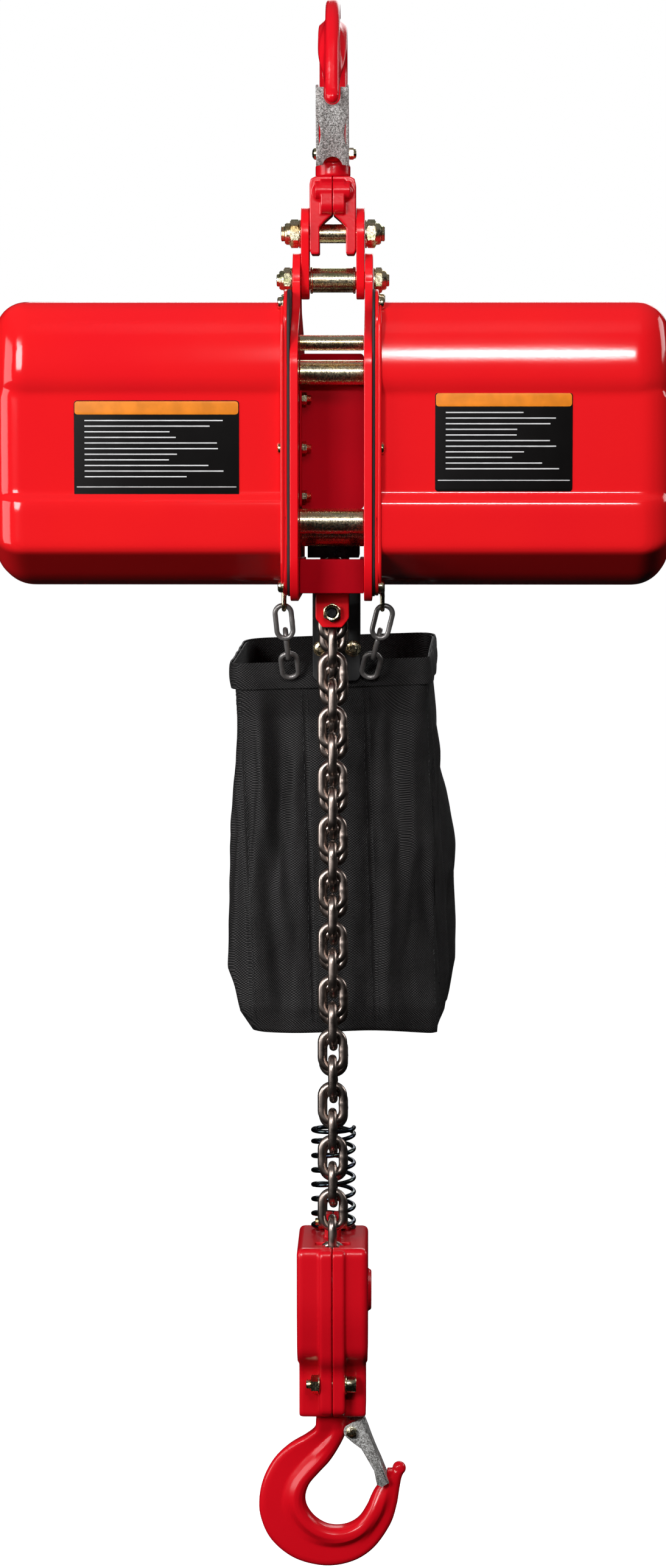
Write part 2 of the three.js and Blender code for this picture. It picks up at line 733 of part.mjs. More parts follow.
function cover(side) {
  const flange = extrudeX(
    roundedRectangle([PLATE.front + 3, PLATE.rear - 3], [PLATE.bottom + 4, PLATE.top], 26),
    FLANGE.inner,
    FLANGE.outer,
    { curveSegments: 3 },
  );
  const openSide = box([-60, FLANGE.inner], [-200, 200], [-500, -100]);
  const shell = cut(join(coverMass(0), flange), coverMass(COVER.wall), openSide);
  return side > 0 ? shell : mirrorX(shell);
}

function addCovers() {
  add("motor_cover", cover(-1), "red_paint");
  add("gear_cover", cover(1), "red_paint");

  // The gland on the rear of the gear cover, where the supply cable goes in.
  const { x, z } = GLAND;
  const hex = rodY(hexRadius(24), COVER.rear + 0.4, COVER.rear + 8, x, z, 6);
  const dome = rodY(9, COVER.rear + 6, COVER.rear + 22, x, z, 14);
  add("cable_gland", join(hex, dome), "black_plastic");
}

// ---------------------------------------------------------------- drive, inside the covers

function gearOutline(teeth, module) {
  const root = (teeth / 2 - 1.25) * module;
  const tip = (teeth / 2 + 0.85) * module;
  const points = [];
  for (let tooth = 0; tooth < teeth; tooth += 1) {
    for (const [fraction, radius] of [
      [-0.25, root],
      [-0.11, tip],
      [0.11, tip],
      [0.25, root],
    ]) {
      const angle = ((tooth + fraction) / teeth) * 2 * Math.PI;
      points.push([radius * Math.cos(angle), radius * Math.sin(angle)]);
    }
  }
  return points;
}

// A gear in the YZ plane, turned by the given share of a tooth.
function gear(teeth, module, [from, to], { y, z }, turn) {
  const shape = outline(gearOutline(teeth, module));
  return extrudeX(shape, from, to).rotateX(turn).translate(0, y, z);
}

function centreDistance(module) {
  return ((GEARS.pinionTeeth + GEARS.wheelTeeth) * module) / 2;
}

// The intermediate shaft stands where both gear pairs mesh, below the line from motor to sheave.
function intermediateShaft() {
  const first = centreDistance(GEARS.firstModule);
  const second = centreDistance(GEARS.secondModule);
  const dy = SHEAVE.y - MOTOR.y;
  const dz = SHEAVE.z - MOTOR.z;
  const span = Math.hypot(dy, dz);
  const along = (first ** 2 - second ** 2 + span ** 2) / (2 * span);
  const below = Math.sqrt(first ** 2 - along ** 2);
  return {
    y: MOTOR.y + (along * dy + below * dz) / span,
    z: MOTOR.z + (along * dz - below * dy) / span,
  };
}

// The turn that puts a tooth, or the middle of a gap, on the line from one shaft to the other.
function aim(from, to, teeth, onGap) {
  const angle = Math.atan2(to.z - from.z, to.y - from.y);
  return angle + (onGap ? Math.PI / teeth : 0);
}

// One flank of a chain wheel: flat floors that carry the flat links, with a tooth between each two.
function pocketWheel(pitches, radius, [from, to], { y, z }, phase) {
  const pockets = pitches / 2;
  const floor = radius * Math.cos(Math.PI / pitches) - LOAD_CHAIN.wire * 0.56 - GAP;
  const floorEnd = floor / Math.cos((0.8 * Math.PI) / pockets);
  const points = [];
  for (let pocket = 0; pocket < pockets; pocket += 1) {
    for (const [fraction, r] of [
      [-0.4, floorEnd],
      [0.4, floorEnd],
      [0.44, radius + 2],
      [0.56, radius + 2],
    ]) {
      const angle = ((pocket + fraction) / pockets) * 2 * Math.PI + phase;
      points.push([r * Math.cos(angle), r * Math.sin(angle)]);
    }
  }
  return extrudeX(outline(points), from, to).translate(0, y, z);
}

function addDrive() {
  const lay = intermediateShaft();
  const { pinionTeeth, wheelTeeth, firstModule, secondModule, firstPlane, secondPlane } = GEARS;

  const rotor = join(
    rodX(9, -176, firstPlane[0] - 3, MOTOR.y, MOTOR.z, 14),
    rodX(5, 40, firstPlane[1], MOTOR.y, MOTOR.z, 12),
    rodX(MOTOR.rotorRadius, -160, -66, MOTOR.y, MOTOR.z, 20),
    gear(pinionTeeth, firstModule, firstPlane, MOTOR, aim(MOTOR, lay, pinionTeeth, false)),
  );
  add("motor_rotor", rotor, "machined_steel");
  add(
    "motor_stator",
    turnedX(ring(MOTOR.rotorRadius + 1, MOTOR.statorRadius, -160, -66), MOTOR.y, MOTOR.z, 24),
    "laminations",
  );
  add("brake_disc", turnedX(ring(9.1, 52, -188, -178), MOTOR.y, MOTOR.z, 20), "black_steel");
  const shield = turnedX(
    [
      [9.4, -62],
      [61, -62],
      [61, -50],
      [20, -50],
      [20, -PLATE.outer - GAP],
      [9.4, -PLATE.outer - GAP],
      [9.4, -62],
    ],
    MOTOR.y,
    MOTOR.z,
    24,
  );
  add("motor_end_shield", shield, "machined_steel");

  const first = gear(wheelTeeth, firstModule, firstPlane, lay, aim(lay, MOTOR, wheelTeeth, true));
  const second = gear(pinionTeeth, secondModule, secondPlane, lay, aim(lay, SHEAVE, pinionTeeth, false));
  const layShaft = rodX(6, firstPlane[0] - 12, secondPlane[1] + 8, lay.y, lay.z, 12);
  add("intermediate_gear", join(first, second, layShaft), "machined_steel");
  const final = gear(wheelTeeth, secondModule, secondPlane, SHEAVE, aim(SHEAVE, lay, wheelTeeth, true));
  add("final_gear", cut(final, rodX(10.2, 40, 100, SHEAVE.y, SHEAVE.z)), "machined_steel");

  const arc = (SHEAVE_PITCHES / 2) * CHAIN_PITCH;
  const phase = Math.PI * (1 + OVER_SHEAVE.rise / arc);
  add(
    "load_sheave",
    join(
      pocketWheel(SHEAVE_PITCHES, SHEAVE_RADIUS, [-20, -5.2], SHEAVE, phase),
      pocketWheel(SHEAVE_PITCHES, SHEAVE_RADIUS, [5.2, 20], SHEAVE, phase),
      rodX(19, -20, 20, SHEAVE.y, SHEAVE.z),
      rodX(14, -46, 48, SHEAVE.y, SHEAVE.z),
      rodX(10, -46, 92, SHEAVE.y, SHEAVE.z),
    ),
    "machined_steel",
  );

  // A closed gearbox round both gear pairs, open where the shafts come through the side plate.
  const walls = roundedRectangle([MOTOR.y - 15, 108], [-392, -248], 20);
  const space = roundedRectangle([MOTOR.y - 11, 104], [-388, -252], 17);
  add(
    "gearbox_housing",
    cut(
      extrudeX(walls, PLATE.outer + GAP, 98, { curveSegments: 3 }),
      extrudeX(space, 40, 94, { curveSegments: 3 }),
      rodX(15, 20, 60, SHEAVE.y, SHEAVE.z),
      rodX(9.6, 20, 60, MOTOR.y, MOTOR.z),
    ),
    "cast_aluminium",
  );
  add("contactor_box", box([120, 214], [-84, 26], [-380, -250]), "black_plastic");

  // The switch that stops the lift when the block reaches the body.
  add("limit_switch", box([4, 20], [-30, -2], [-352, -318]), "black_plastic");
}

// ---------------------------------------------------------------- block

function blockHalf(side) {
  const { top, shoulder, bottom, halfWidth, neckWidth } = BLOCK;
  const face = GAP / 2;
  const bodyProfile = outline([
    [-50, top],
    [50, top],
    [50, IDLER_Z - 10],
    [43, shoulder],
    [24, shoulder - 14],
    [24, bottom],
    [-24, bottom],
    [-24, shoulder - 14],
    [-43, shoulder],
    [-50, IDLER_Z - 10],
  ]);
  const ribProfile = outline([
    [-53, top - 1],
    [53, top - 1],
    [53, IDLER_Z - 10],
    [46, shoulder - 4],
    [38, shoulder - 14],
    [38, bottom + 4],
    [-38, bottom + 4],
    [-38, shoulder - 14],
    [-46, shoulder - 4],
    [-53, IDLER_Z - 10],
  ]);
  const body = extrudeX(bodyProfile, 0, halfWidth, { bevel: 3, bevelSegments: 1 });
  const rib = extrudeX(ribProfile, 0, 10, { bevel: 1.5 });
  const neckTrim = box([neckWidth, 40], [-80, 80], [bottom - 5, shoulder - 8]);
  const lug = box([0, 6.5], [-7, 7], [top - 10, top + 19]);
  const pocket = rodX(41.5, -1, 14.2, 0, IDLER_Z, 24);
  const slots = [-FALL_Y, FALL_Y].flatMap((y) => [
    box([-1, 13.4], [y - 5, y + 5], [IDLER_Z, top + 30]),
    box([-1, 5.2], [y - 13, y + 13], [IDLER_Z, top + 30]),
  ]);
  const shankEnd = BOTTOM_HOOK_Z + HOOK.shankEnd;
  const half = cut(
    join(cut(body, neckTrim), rib, lug),
    pocket,
    ...slots,
    rodX(8.15, -1, 22, 0, IDLER_Z, 16),
    rodZ(HOOK.shankRadius + 0.5, bottom - 5, shankEnd, 0, 0),
    rodZ(HOOK.collar[2] + 0.6, bottom - 5, BOTTOM_HOOK_Z + HOOK.collar[1] + 0.6, 0, 0),
    rodZ(15.2, BOTTOM_HOOK_Z + HOOK.shankEnd - 10.5, shankEnd + 1.5, 0, 0),
    rodX(4.2, -1, 20, -32, -1043, 10),
    rodX(3.2, -1, 20, 0, top + 12, 10),
    box([-5, face], [-80, 80], [bottom - 10, top + 40]),
  );
  return side > 0 ? half : mirrorX(half);
}

function addBlock() {
  add("block_half_left", blockHalf(-1), "red_paint");
  add("block_half_right", blockHalf(1), "red_paint");
  const arc = (IDLER_PITCHES / 2) * CHAIN_PITCH;
  const phase = Math.PI * (1 - UNDER_IDLER.rise / arc);
  const centre = { y: 0, z: IDLER_Z };
  add(
    "idler_sheave",
    cut(
      join(
        pocketWheel(IDLER_PITCHES, IDLER_RADIUS, [-13, -5.2], centre, phase),
        pocketWheel(IDLER_PITCHES, IDLER_RADIUS, [5.2, 13], centre, phase),
        rodX(12.4, -13, 13, 0, IDLER_Z),
      ),
      rodX(8.3, -20, 20, 0, IDLER_Z),
    ),
    "machined_steel",
  );
  add("idler_axle", rodX(8, -21.5, 21.5, 0, IDLER_Z), "machined_steel");
  add(
    "block_bolt",
    join(
      rodX(4, -17.5, 11, -32, -1043, 12),
      rodX(6.5, 10.4, 18.4, -32, -1043, 14),
    ),
    "zinc_yellow",
  );
  add("bottom_hook_nut", shankNut(BOTTOM_HOOK_Z + HOOK.shankEnd, 1), "machined_steel");
  addBufferSpring();
}

// The helical spring that the live fall runs through, with a closed turn at each end.
function addBufferSpring() {
  const wireRadius = 1.75;
  const coilRadius = 16.2;
  const bottom = BLOCK.top + wireRadius + GAP;
  const height = 84 - 2 * wireRadius;
  const turns = 8;
  class Coil extends THREE.Curve {
    getPoint(t) {
      const lift = THREE.MathUtils.clamp((t - 0.1) / 0.8, 0, 1);
      const closed = 2 * wireRadius * 1.08 * (Math.min(t, 0.1) + Math.max(t - 0.9, 0)) * turns;
      const rest = height - 2 * wireRadius * 1.08 * 0.2 * turns;
      const angle = t * turns * 2 * Math.PI;
      const z = bottom + lift * rest + closed;
      return new THREE.Vector3(coilRadius * Math.cos(angle), FALL_Y + coilRadius * Math.sin(angle), z);
    }
  }
  const wire = new THREE.Shape();
  wire.absarc(0, 0, wireRadius, 0, 2 * Math.PI);
  const spring = new THREE.ExtrudeGeometry(wire, {
    extrudePath: new Coil(),
    steps: turns * 8,
    curveSegments: 2,
  });
  add("buffer_spring", spring, "black_steel");
}

// ---------------------------------------------------------------- chain bag

// The bag's outline is drawn at the rim, then let out and skewed towards the bottom.
function bagMass(inset, top) {
  const shape = roundedRectangle(
    [BAG.left + inset, BAG.right - inset],
    [BAG.front + inset, BAG.rear - inset],
    BAG.corner - inset,
  );
  const bottom = BAG.bottom + inset;
  const mass = extrude(shape, top - bottom, { curveSegments: 2, steps: 8 }).translate(0, 0, bottom);
  const middle = (BAG.front + BAG.rear) / 2;
  const { wider, deeper, skew, tuck, tuckFrom } = BAG_SAG;
  const position = mass.attributes.position;
  for (let i = 0; i < position.count; i += 1) {
    const down = THREE.MathUtils.clamp((BAG.rim - position.getZ(i)) / (BAG.rim - BAG.bottom), 0, 1);
    const drawnIn = 1 - (tuck * Math.max(0, down - tuckFrom)) / (1 - tuckFrom);
    const x = position.getX(i) * (1 + wider * down) + skew * down;
    const y = (position.getY(i) - middle) * (1 + deeper * down);
    position.setX(i, x * drawnIn);
    position.setY(i, middle + y * drawnIn);
  }
  return mass;
}

function addBag() {
  const shell = cut(bagMass(0, BAG.rim), bagMass(BAG.wall, BAG.rim + 20));
  add("chain_bag", shell, "black_fabric");

  // The bracket hangs from the body's rear, reaches into the bag and carries its front wall.
  const bracket = join(
    box([-17, 21], [50.2, 54.2], [-496, -404]),
    box([-17, 21], [50.2, 76], [-408, -404]),
  );
  add("bag_bracket", bracket, "black_steel");

  // Short chains from the covers' bottom screws to the bag's rim.
  for (const [name, topX, bottomX] of [
    ["left", -38, -36],
    ["right", 38.5, 30],
  ]) {
    const place = (i) => {
      const t = i / 2;
      return {
        x: topX + (bottomX - topX) * t,
        y: 20 + 24 * t,
        z: -442.5 - 20.4 * i,
        lean: Math.atan2(12, 20.4),
        twist: Math.atan2(-(bottomX - topX) / 2, 20.4),
      };
    };
    add(`bag_chain_${name}`, chain(3, place, BAG_CHAIN), "chain_steel");
  }
}

// ---------------------------------------------------------------- assembly

addHooks();
addSuspension();
addFrame();
addAnchor();
addCovers();
addDrive();
addBlock();
addLoadChain();
addBag();

export default hoist;
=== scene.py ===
"""The looks of an electric chain hoist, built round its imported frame.

Builders work in millimetres, in the frame's axes: +X to the gearbox side, +Y to the rear, +Z up.
"""
import json
import math

import bmesh
import bpy
import numpy as np
from mathutils import Matrix, Vector, noise


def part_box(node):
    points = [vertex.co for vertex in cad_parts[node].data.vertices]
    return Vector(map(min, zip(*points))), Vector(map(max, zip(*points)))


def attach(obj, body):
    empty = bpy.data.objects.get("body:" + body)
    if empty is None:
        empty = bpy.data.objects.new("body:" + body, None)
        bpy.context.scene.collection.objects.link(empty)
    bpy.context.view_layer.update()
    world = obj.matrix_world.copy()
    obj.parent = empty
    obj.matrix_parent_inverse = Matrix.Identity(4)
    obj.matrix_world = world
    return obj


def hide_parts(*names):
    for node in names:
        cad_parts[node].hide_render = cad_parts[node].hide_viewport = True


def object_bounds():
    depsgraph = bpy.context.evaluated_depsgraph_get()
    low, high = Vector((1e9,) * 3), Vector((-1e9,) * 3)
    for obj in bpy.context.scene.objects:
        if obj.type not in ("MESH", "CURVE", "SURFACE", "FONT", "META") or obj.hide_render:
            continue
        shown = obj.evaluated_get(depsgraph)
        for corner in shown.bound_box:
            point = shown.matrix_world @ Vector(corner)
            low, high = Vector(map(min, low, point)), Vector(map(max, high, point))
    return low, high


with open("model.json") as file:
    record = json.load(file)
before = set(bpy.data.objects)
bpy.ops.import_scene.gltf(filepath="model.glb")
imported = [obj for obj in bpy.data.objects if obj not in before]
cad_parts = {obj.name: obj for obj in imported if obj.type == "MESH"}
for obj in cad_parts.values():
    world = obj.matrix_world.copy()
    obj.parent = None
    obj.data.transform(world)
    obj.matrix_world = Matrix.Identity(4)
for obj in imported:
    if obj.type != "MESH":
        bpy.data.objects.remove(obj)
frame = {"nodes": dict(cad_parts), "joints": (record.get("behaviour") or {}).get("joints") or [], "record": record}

CAD_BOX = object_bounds()
MM = 0.001
HALF = math.pi / 2

# ------------------------------------------------------------------ places, from the frame


def span(node):
    """A CAD node's lowest and highest corner, in millimetres."""
    low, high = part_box(node)
    return np.array(low) / MM, np.array(high) / MM


def pivot(joint_name):
    """The point that a hinge turns about, in millimetres."""
    return next(np.array(j["pos_m"]) / MM for j in frame["joints"] if j["name"] == joint_name)


SHEAVE = pivot("load_sheave_spin")
IDLER = pivot("idler_sheave_spin")
BOTTOM_LATCH = pivot("bottom_latch_hinge")
UPPER_PIN = pivot("upper_link_hinge")
LOWER_PIN = pivot("lower_link_hinge")
PLATE_LOW, PLATE_HIGH = span("side_plate_right")
COVER_LOW, COVER_HIGH = span("gear_cover")
BLOCK_LOW, BLOCK_HIGH = span("block_half_right")
BAG_LOW, BAG_HIGH = span("chain_bag")

# ------------------------------------------------------------------ camera and studio

CAMERA_DISTANCE = 3.0
CAMERA_SIDE = 0.045
CAMERA_HEIGHT = -0.3055
CAMERA_TILT = math.radians(5.1)
CAMERA_LENS = 88.5


def make_camera():
    data = bpy.data.cameras.new("camera")
    data.lens = CAMERA_LENS
    data.sensor_width = 36
    data.clip_end = 100
    camera = bpy.data.objects.new("camera", data)
    bpy.context.scene.collection.objects.link(camera)
    turn = math.atan2(CAMERA_SIDE, CAMERA_DISTANCE)
    camera.location = (CAMERA_SIDE, -CAMERA_DISTANCE, CAMERA_HEIGHT)
    camera.rotation_euler = (HALF - CAMERA_TILT, 0, turn)
    bpy.context.scene.camera = camera


def softbox(name, place, aim, size, power, mirrored=True):
    """A soft light. One that isn't mirrored lights the object without showing in its gloss."""
    data = bpy.data.lights.new(name, "AREA")
    data.shape = "RECTANGLE"
    data.size, data.size_y = size
    data.energy = power
    light = bpy.data.objects.new(name, data)
    bpy.context.scene.collection.objects.link(light)
    light.visible_glossy = mirrored
    light.location = place
    light.rotation_euler = (Vector(aim) - Vector(place)).to_track_quat("-Z", "Y").to_euler()


def make_world():
    """White behind the object; what lights it is brighter above than below."""
    world = bpy.data.worlds.new("studio")
    bpy.context.scene.world = world
    world.use_nodes = True
    tree = world.node_tree
    tree.nodes.clear()
    direction = node(tree, "ShaderNodeTexCoord").outputs["Generated"]
    height = node(tree, "ShaderNodeSeparateXYZ", {"Vector": direction}).outputs["Z"]
    greys = [(0.0, 0.004), (0.46, 0.01), (0.62, 0.1), (1.0, 0.16)]
    room = ramp(tree, height, [(position, (grey,) * 3) for position, grey in greys])
    seen = node(tree, "ShaderNodeLightPath").outputs["Is Camera Ray"]
    lit = node(tree, "ShaderNodeBackground", {"Color": room, "Strength": 1.0})
    backdrop = node(tree, "ShaderNodeBackground", {"Color": (1, 1, 1, 1), "Strength": 1.0})
    surface = node(tree, "ShaderNodeMixShader", {0: seen, 1: lit.outputs[0], 2: backdrop.outputs[0]})
    node(tree, "ShaderNodeOutputWorld", {"Surface": surface.outputs[0]})


def make_studio():
    body = (0, 0, -0.31)
    softbox("left_softbox", (-2.2, -0.9, -0.25), body, (1.2, 1.5), 26)
    softbox("key", (-1.7, -3.2, 0.55), body, (1.1, 1.3), 88)
    softbox("strip", (0.19, -1.75, 0.26), (0.19, -0.1, -0.24), (0.34, 0.12), 9)
    softbox("high_front", (0.35, -2.6, 1.9), (0, 0, -0.4), (1.6, 0.8), 40, mirrored=False)
    softbox("rear_fill", (0.6, 3.0, 1.2), (0, 0, -0.5), (2.4, 1.6), 34)
    softbox("right_fill", (3.0, 1.0, 0.7), (0, 0, -0.4), (1.2, 1.2), 20)


FLOOR_REACH = 40
FLOOR_DROP = 0.62  # from the bottom hook


def make_floor():
    floor = bpy.data.meshes.new("floor")
    level = CAD_BOX[0].z - FLOOR_DROP
    corners = [(FLOOR_REACH * a, FLOOR_REACH * b, level) for a, b in ((-1, -1), (1, -1), (1, 1), (-1, 1))]
    floor.from_pydata(corners, [], [(0, 1, 2, 3)])
    ground = bpy.data.objects.new("floor", floor)
    bpy.context.scene.collection.objects.link(ground)
    pale, tree, shader = new_material("pale_floor")
    shader.inputs["Base Color"].default_value = (0.9, 0.9, 0.9, 1)
    shader.inputs["Roughness"].default_value = 0.9
    shader.inputs["Emission Color"].default_value = (1, 1, 1, 1)
    shader.inputs["Emission Strength"].default_value = 0.93
    floor.materials.append(pale)
    ground.visible_diffuse = False
    ground.visible_glossy = False


# ------------------------------------------------------------------ node helpers


def new_material(name):
    material = bpy.data.materials.new(name)
    material.use_nodes = True
    tree = material.node_tree
    return material, tree, tree.nodes["Principled BSDF"]


def node(tree, kind, inputs=(), **settings):
    """A new node, with its settings, and each input linked to a socket or set to a value."""
    made = tree.nodes.new(kind)
    for key, value in settings.items():
        setattr(made, key, value)
    for key, value in dict(inputs).items():
        if isinstance(value, bpy.types.NodeSocket):
            tree.links.new(value, made.inputs[key])
        else:
            made.inputs[key].default_value = value
    return made


def ramp(tree, value, stops):
    """A colour or grey ramp over a value, from (position, colour) stops."""
    made = node(tree, "ShaderNodeValToRGB", {"Fac": value})
    elements = made.color_ramp.elements
    while len(elements) < len(stops):
        elements.new(0.5)
    for element, (position, colour) in zip(elements, stops):
        element.position = position
        element.color = (*colour[:3], 1)
    return made.outputs["Color"]


def own_coordinates(tree, stretch=(1, 1, 1)):
    """Coordinates that stay on the piece, stretched along its axes."""
    place = node(tree, "ShaderNodeTexCoord").outputs["Object"]
    return node(tree, "ShaderNodeMapping", {"Vector": place, "Scale": stretch}).outputs["Vector"]


def speckle(tree, place, scale, detail=3.0, rough=0.5):
    inputs = {"Vector": place, "Scale": scale, "Detail": detail, "Roughness": rough}
    return node(tree, "ShaderNodeTexNoise", inputs).outputs["Fac"]


def stretched(tree, value, low, high, new_low, new_high):
    inputs = {0: value, 1: low, 2: high, 3: new_low, 4: new_high}
    return node(tree, "ShaderNodeMapRange", inputs).outputs[0]


def roughened(tree, shader, value, low, high):
    """Roughness from low to high over the middle of a value's range."""
    tree.links.new(stretched(tree, value, 0.3, 0.7, low, high), shader.inputs["Roughness"])


def tinted(tree, shader, value, stops):
    tree.links.new(ramp(tree, value, stops), shader.inputs["Base Color"])


def math_node(tree, operation, a, b=0.0):
    return node(tree, "ShaderNodeMath", {0: a, 1: b}, operation=operation).outputs[0]


def bumped(tree, shader, height, distance, strength=1.0):
    bump = node(tree, "ShaderNodeBump", {"Height": height, "Distance": distance, "Strength": strength})
    tree.links.new(bump.outputs["Normal"], shader.inputs["Normal"])


def mixed(tree, factor, a, b, blend="MIX"):
    made = node(tree, "ShaderNodeMix", data_type="RGBA", blend_type=blend)
    for index, value in ((0, factor), (6, a), (7, b)):
        if isinstance(value, bpy.types.NodeSocket):
            tree.links.new(value, made.inputs[index])
        else:
            made.inputs[index].default_value = value
    return made.outputs[2]


# ------------------------------------------------------------------ materials


def enamel(name, light, dark, peel, roughness=0.2, specular=0.4):
    """Glossy red enamel, a little uneven in colour and gloss, with a light orange peel."""
    material, tree, shader = new_material(name)
    place = own_coordinates(tree)
    tinted(tree, shader, speckle(tree, place, 9.0, 2.0), [(0.3, dark), (0.7, light)])
    roughened(tree, shader, speckle(tree, place, 7.0), roughness, roughness + 0.05)
    shader.inputs["Specular IOR Level"].default_value = specular
    bumped(tree, shader, speckle(tree, place, 420.0, 2.0), peel, 0.6)
    return material


def plated(name, tints, roughness, streaks, grain_size=900.0):
    """Zinc plate with passivation: bands of slightly different tint, and a fine rolled grain."""
    material, tree, shader = new_material(name)
    bands = speckle(tree, own_coordinates(tree, streaks), 38.0, 5.0, 0.65)
    tinted(tree, shader, bands, [(0.25 + 0.5 * i / (len(tints) - 1), tint) for i, tint in enumerate(tints)])
    shader.inputs["Metallic"].default_value = 1.0
    grain = speckle(tree, own_coordinates(tree), grain_size, 2.0)
    roughened(tree, shader, grain, roughness - 0.07, roughness + 0.1)
    bumped(tree, shader, grain, 0.00005, 0.5)
    return material


def bare_metal(name, colour, roughness, grain_size=300.0, metallic=1.0, patches=0.55):
    """Metal without a coat, with patches that are darker by a factor."""
    material, tree, shader = new_material(name)
    place = own_coordinates(tree)
    darker = tuple(c * patches for c in colour)
    tinted(tree, shader, speckle(tree, place, 70.0, 4.0, 0.6), [(0.3, darker), (0.65, colour)])
    shader.inputs["Metallic"].default_value = metallic
    grain = speckle(tree, place, grain_size)
    roughened(tree, shader, grain, roughness - 0.06, roughness + 0.1)
    bumped(tree, shader, grain, 0.00006, 0.5)
    return material


def grainy_zinc():
    """The latches' thick galvanised skin: a sparkle of crystals about half a millimetre across."""
    material, tree, shader = new_material("grainy_zinc")
    place = own_coordinates(tree)
    cells = node(tree, "ShaderNodeTexVoronoi", {"Vector": place, "Scale": 1500.0}).outputs["Color"]
    crystal = node(tree, "ShaderNodeSeparateColor", {"Color": cells}).outputs[0]
    cloud = speckle(tree, place, 700.0, 3.0, 0.7)
    halves = [math_node(tree, "MULTIPLY", part, 0.5) for part in (crystal, cloud)]
    value = math_node(tree, "ADD", *halves)
    greys = [(0.2, (0.2, 0.19, 0.18)), (0.5, (0.5, 0.49, 0.47)), (0.8, (0.88, 0.88, 0.87))]
    tinted(tree, shader, value, greys)
    shader.inputs["Metallic"].default_value = 0.75
    tree.links.new(stretched(tree, crystal, 0, 1, 0.35, 0.6), shader.inputs["Roughness"])
    bumped(tree, shader, value, 0.00012, 0.5)
    return material


def woven_nylon(thread=2.3, row=2.0):
    """Black ballistic nylon: thread crossings stand up in staggered rows, and their colour is lighter than the
    hollows as a painted sheen. Sizes in millimetres.
    """
    material, tree, shader = new_material("woven_nylon")
    place = node(tree, "ShaderNodeTexCoord").outputs["Object"]
    wander = node(tree, "ShaderNodeTexNoise", {"Vector": place, "Scale": 14.0, "Detail": 2.0}).outputs["Fac"]
    x, y, z = node(tree, "ShaderNodeSeparateXYZ", {"Vector": place}).outputs
    bend = math_node(tree, "MULTIPLY", wander, 0.012)
    across = math_node(tree, "ADD", math_node(tree, "ADD", x, y), bend)
    warp = math_node(tree, "SINE", math_node(tree, "MULTIPLY", across, 2 * math.pi / (thread * MM)))
    down = math_node(tree, "ADD", z, bend)
    weft = math_node(tree, "SINE", math_node(tree, "MULTIPLY", down, 2 * math.pi / (row * MM)))
    crossing = math_node(tree, "MULTIPLY", warp, weft)
    height = stretched(tree, crossing, -1, 1, 0, 1)
    wear = speckle(tree, place, 25.0, 4.0, 0.6)
    shade = stretched(tree, wear, 0.3, 0.7, 0.7, 1.3)
    # Painted sheen: the raised thread crossings are coloured lighter than the hollows between them.
    thread_sheen = ramp(tree, height, [(0.4, (0.0015, 0.0015, 0.0018)), (0.85, (0.042, 0.039, 0.039))])
    tree.links.new(mixed(tree, 1.0, thread_sheen, shade, "MULTIPLY"), shader.inputs["Base Color"])
    tree.links.new(stretched(tree, height, 0, 1, 0.8, 0.45), shader.inputs["Roughness"])
    shader.inputs["Specular IOR Level"].default_value = 0.28
    bumped(tree, shader, height, 0.0005, 0.8)
    return material


def plain(name, colour, roughness, grain_size=250.0, bump=0.0001, specular=0.5):
    """A moulded or printed surface with a faint grain."""
    material, tree, shader = new_material(name)
    grain = speckle(tree, own_coordinates(tree), grain_size)
    tinted(tree, shader, grain, [(0.35, tuple(c * 0.8 for c in colour)), (0.65, colour)])
    shader.inputs["Roughness"].default_value = roughness
    shader.inputs["Specular IOR Level"].default_value = specular
    bumped(tree, shader, grain, bump, 0.5)
    return material


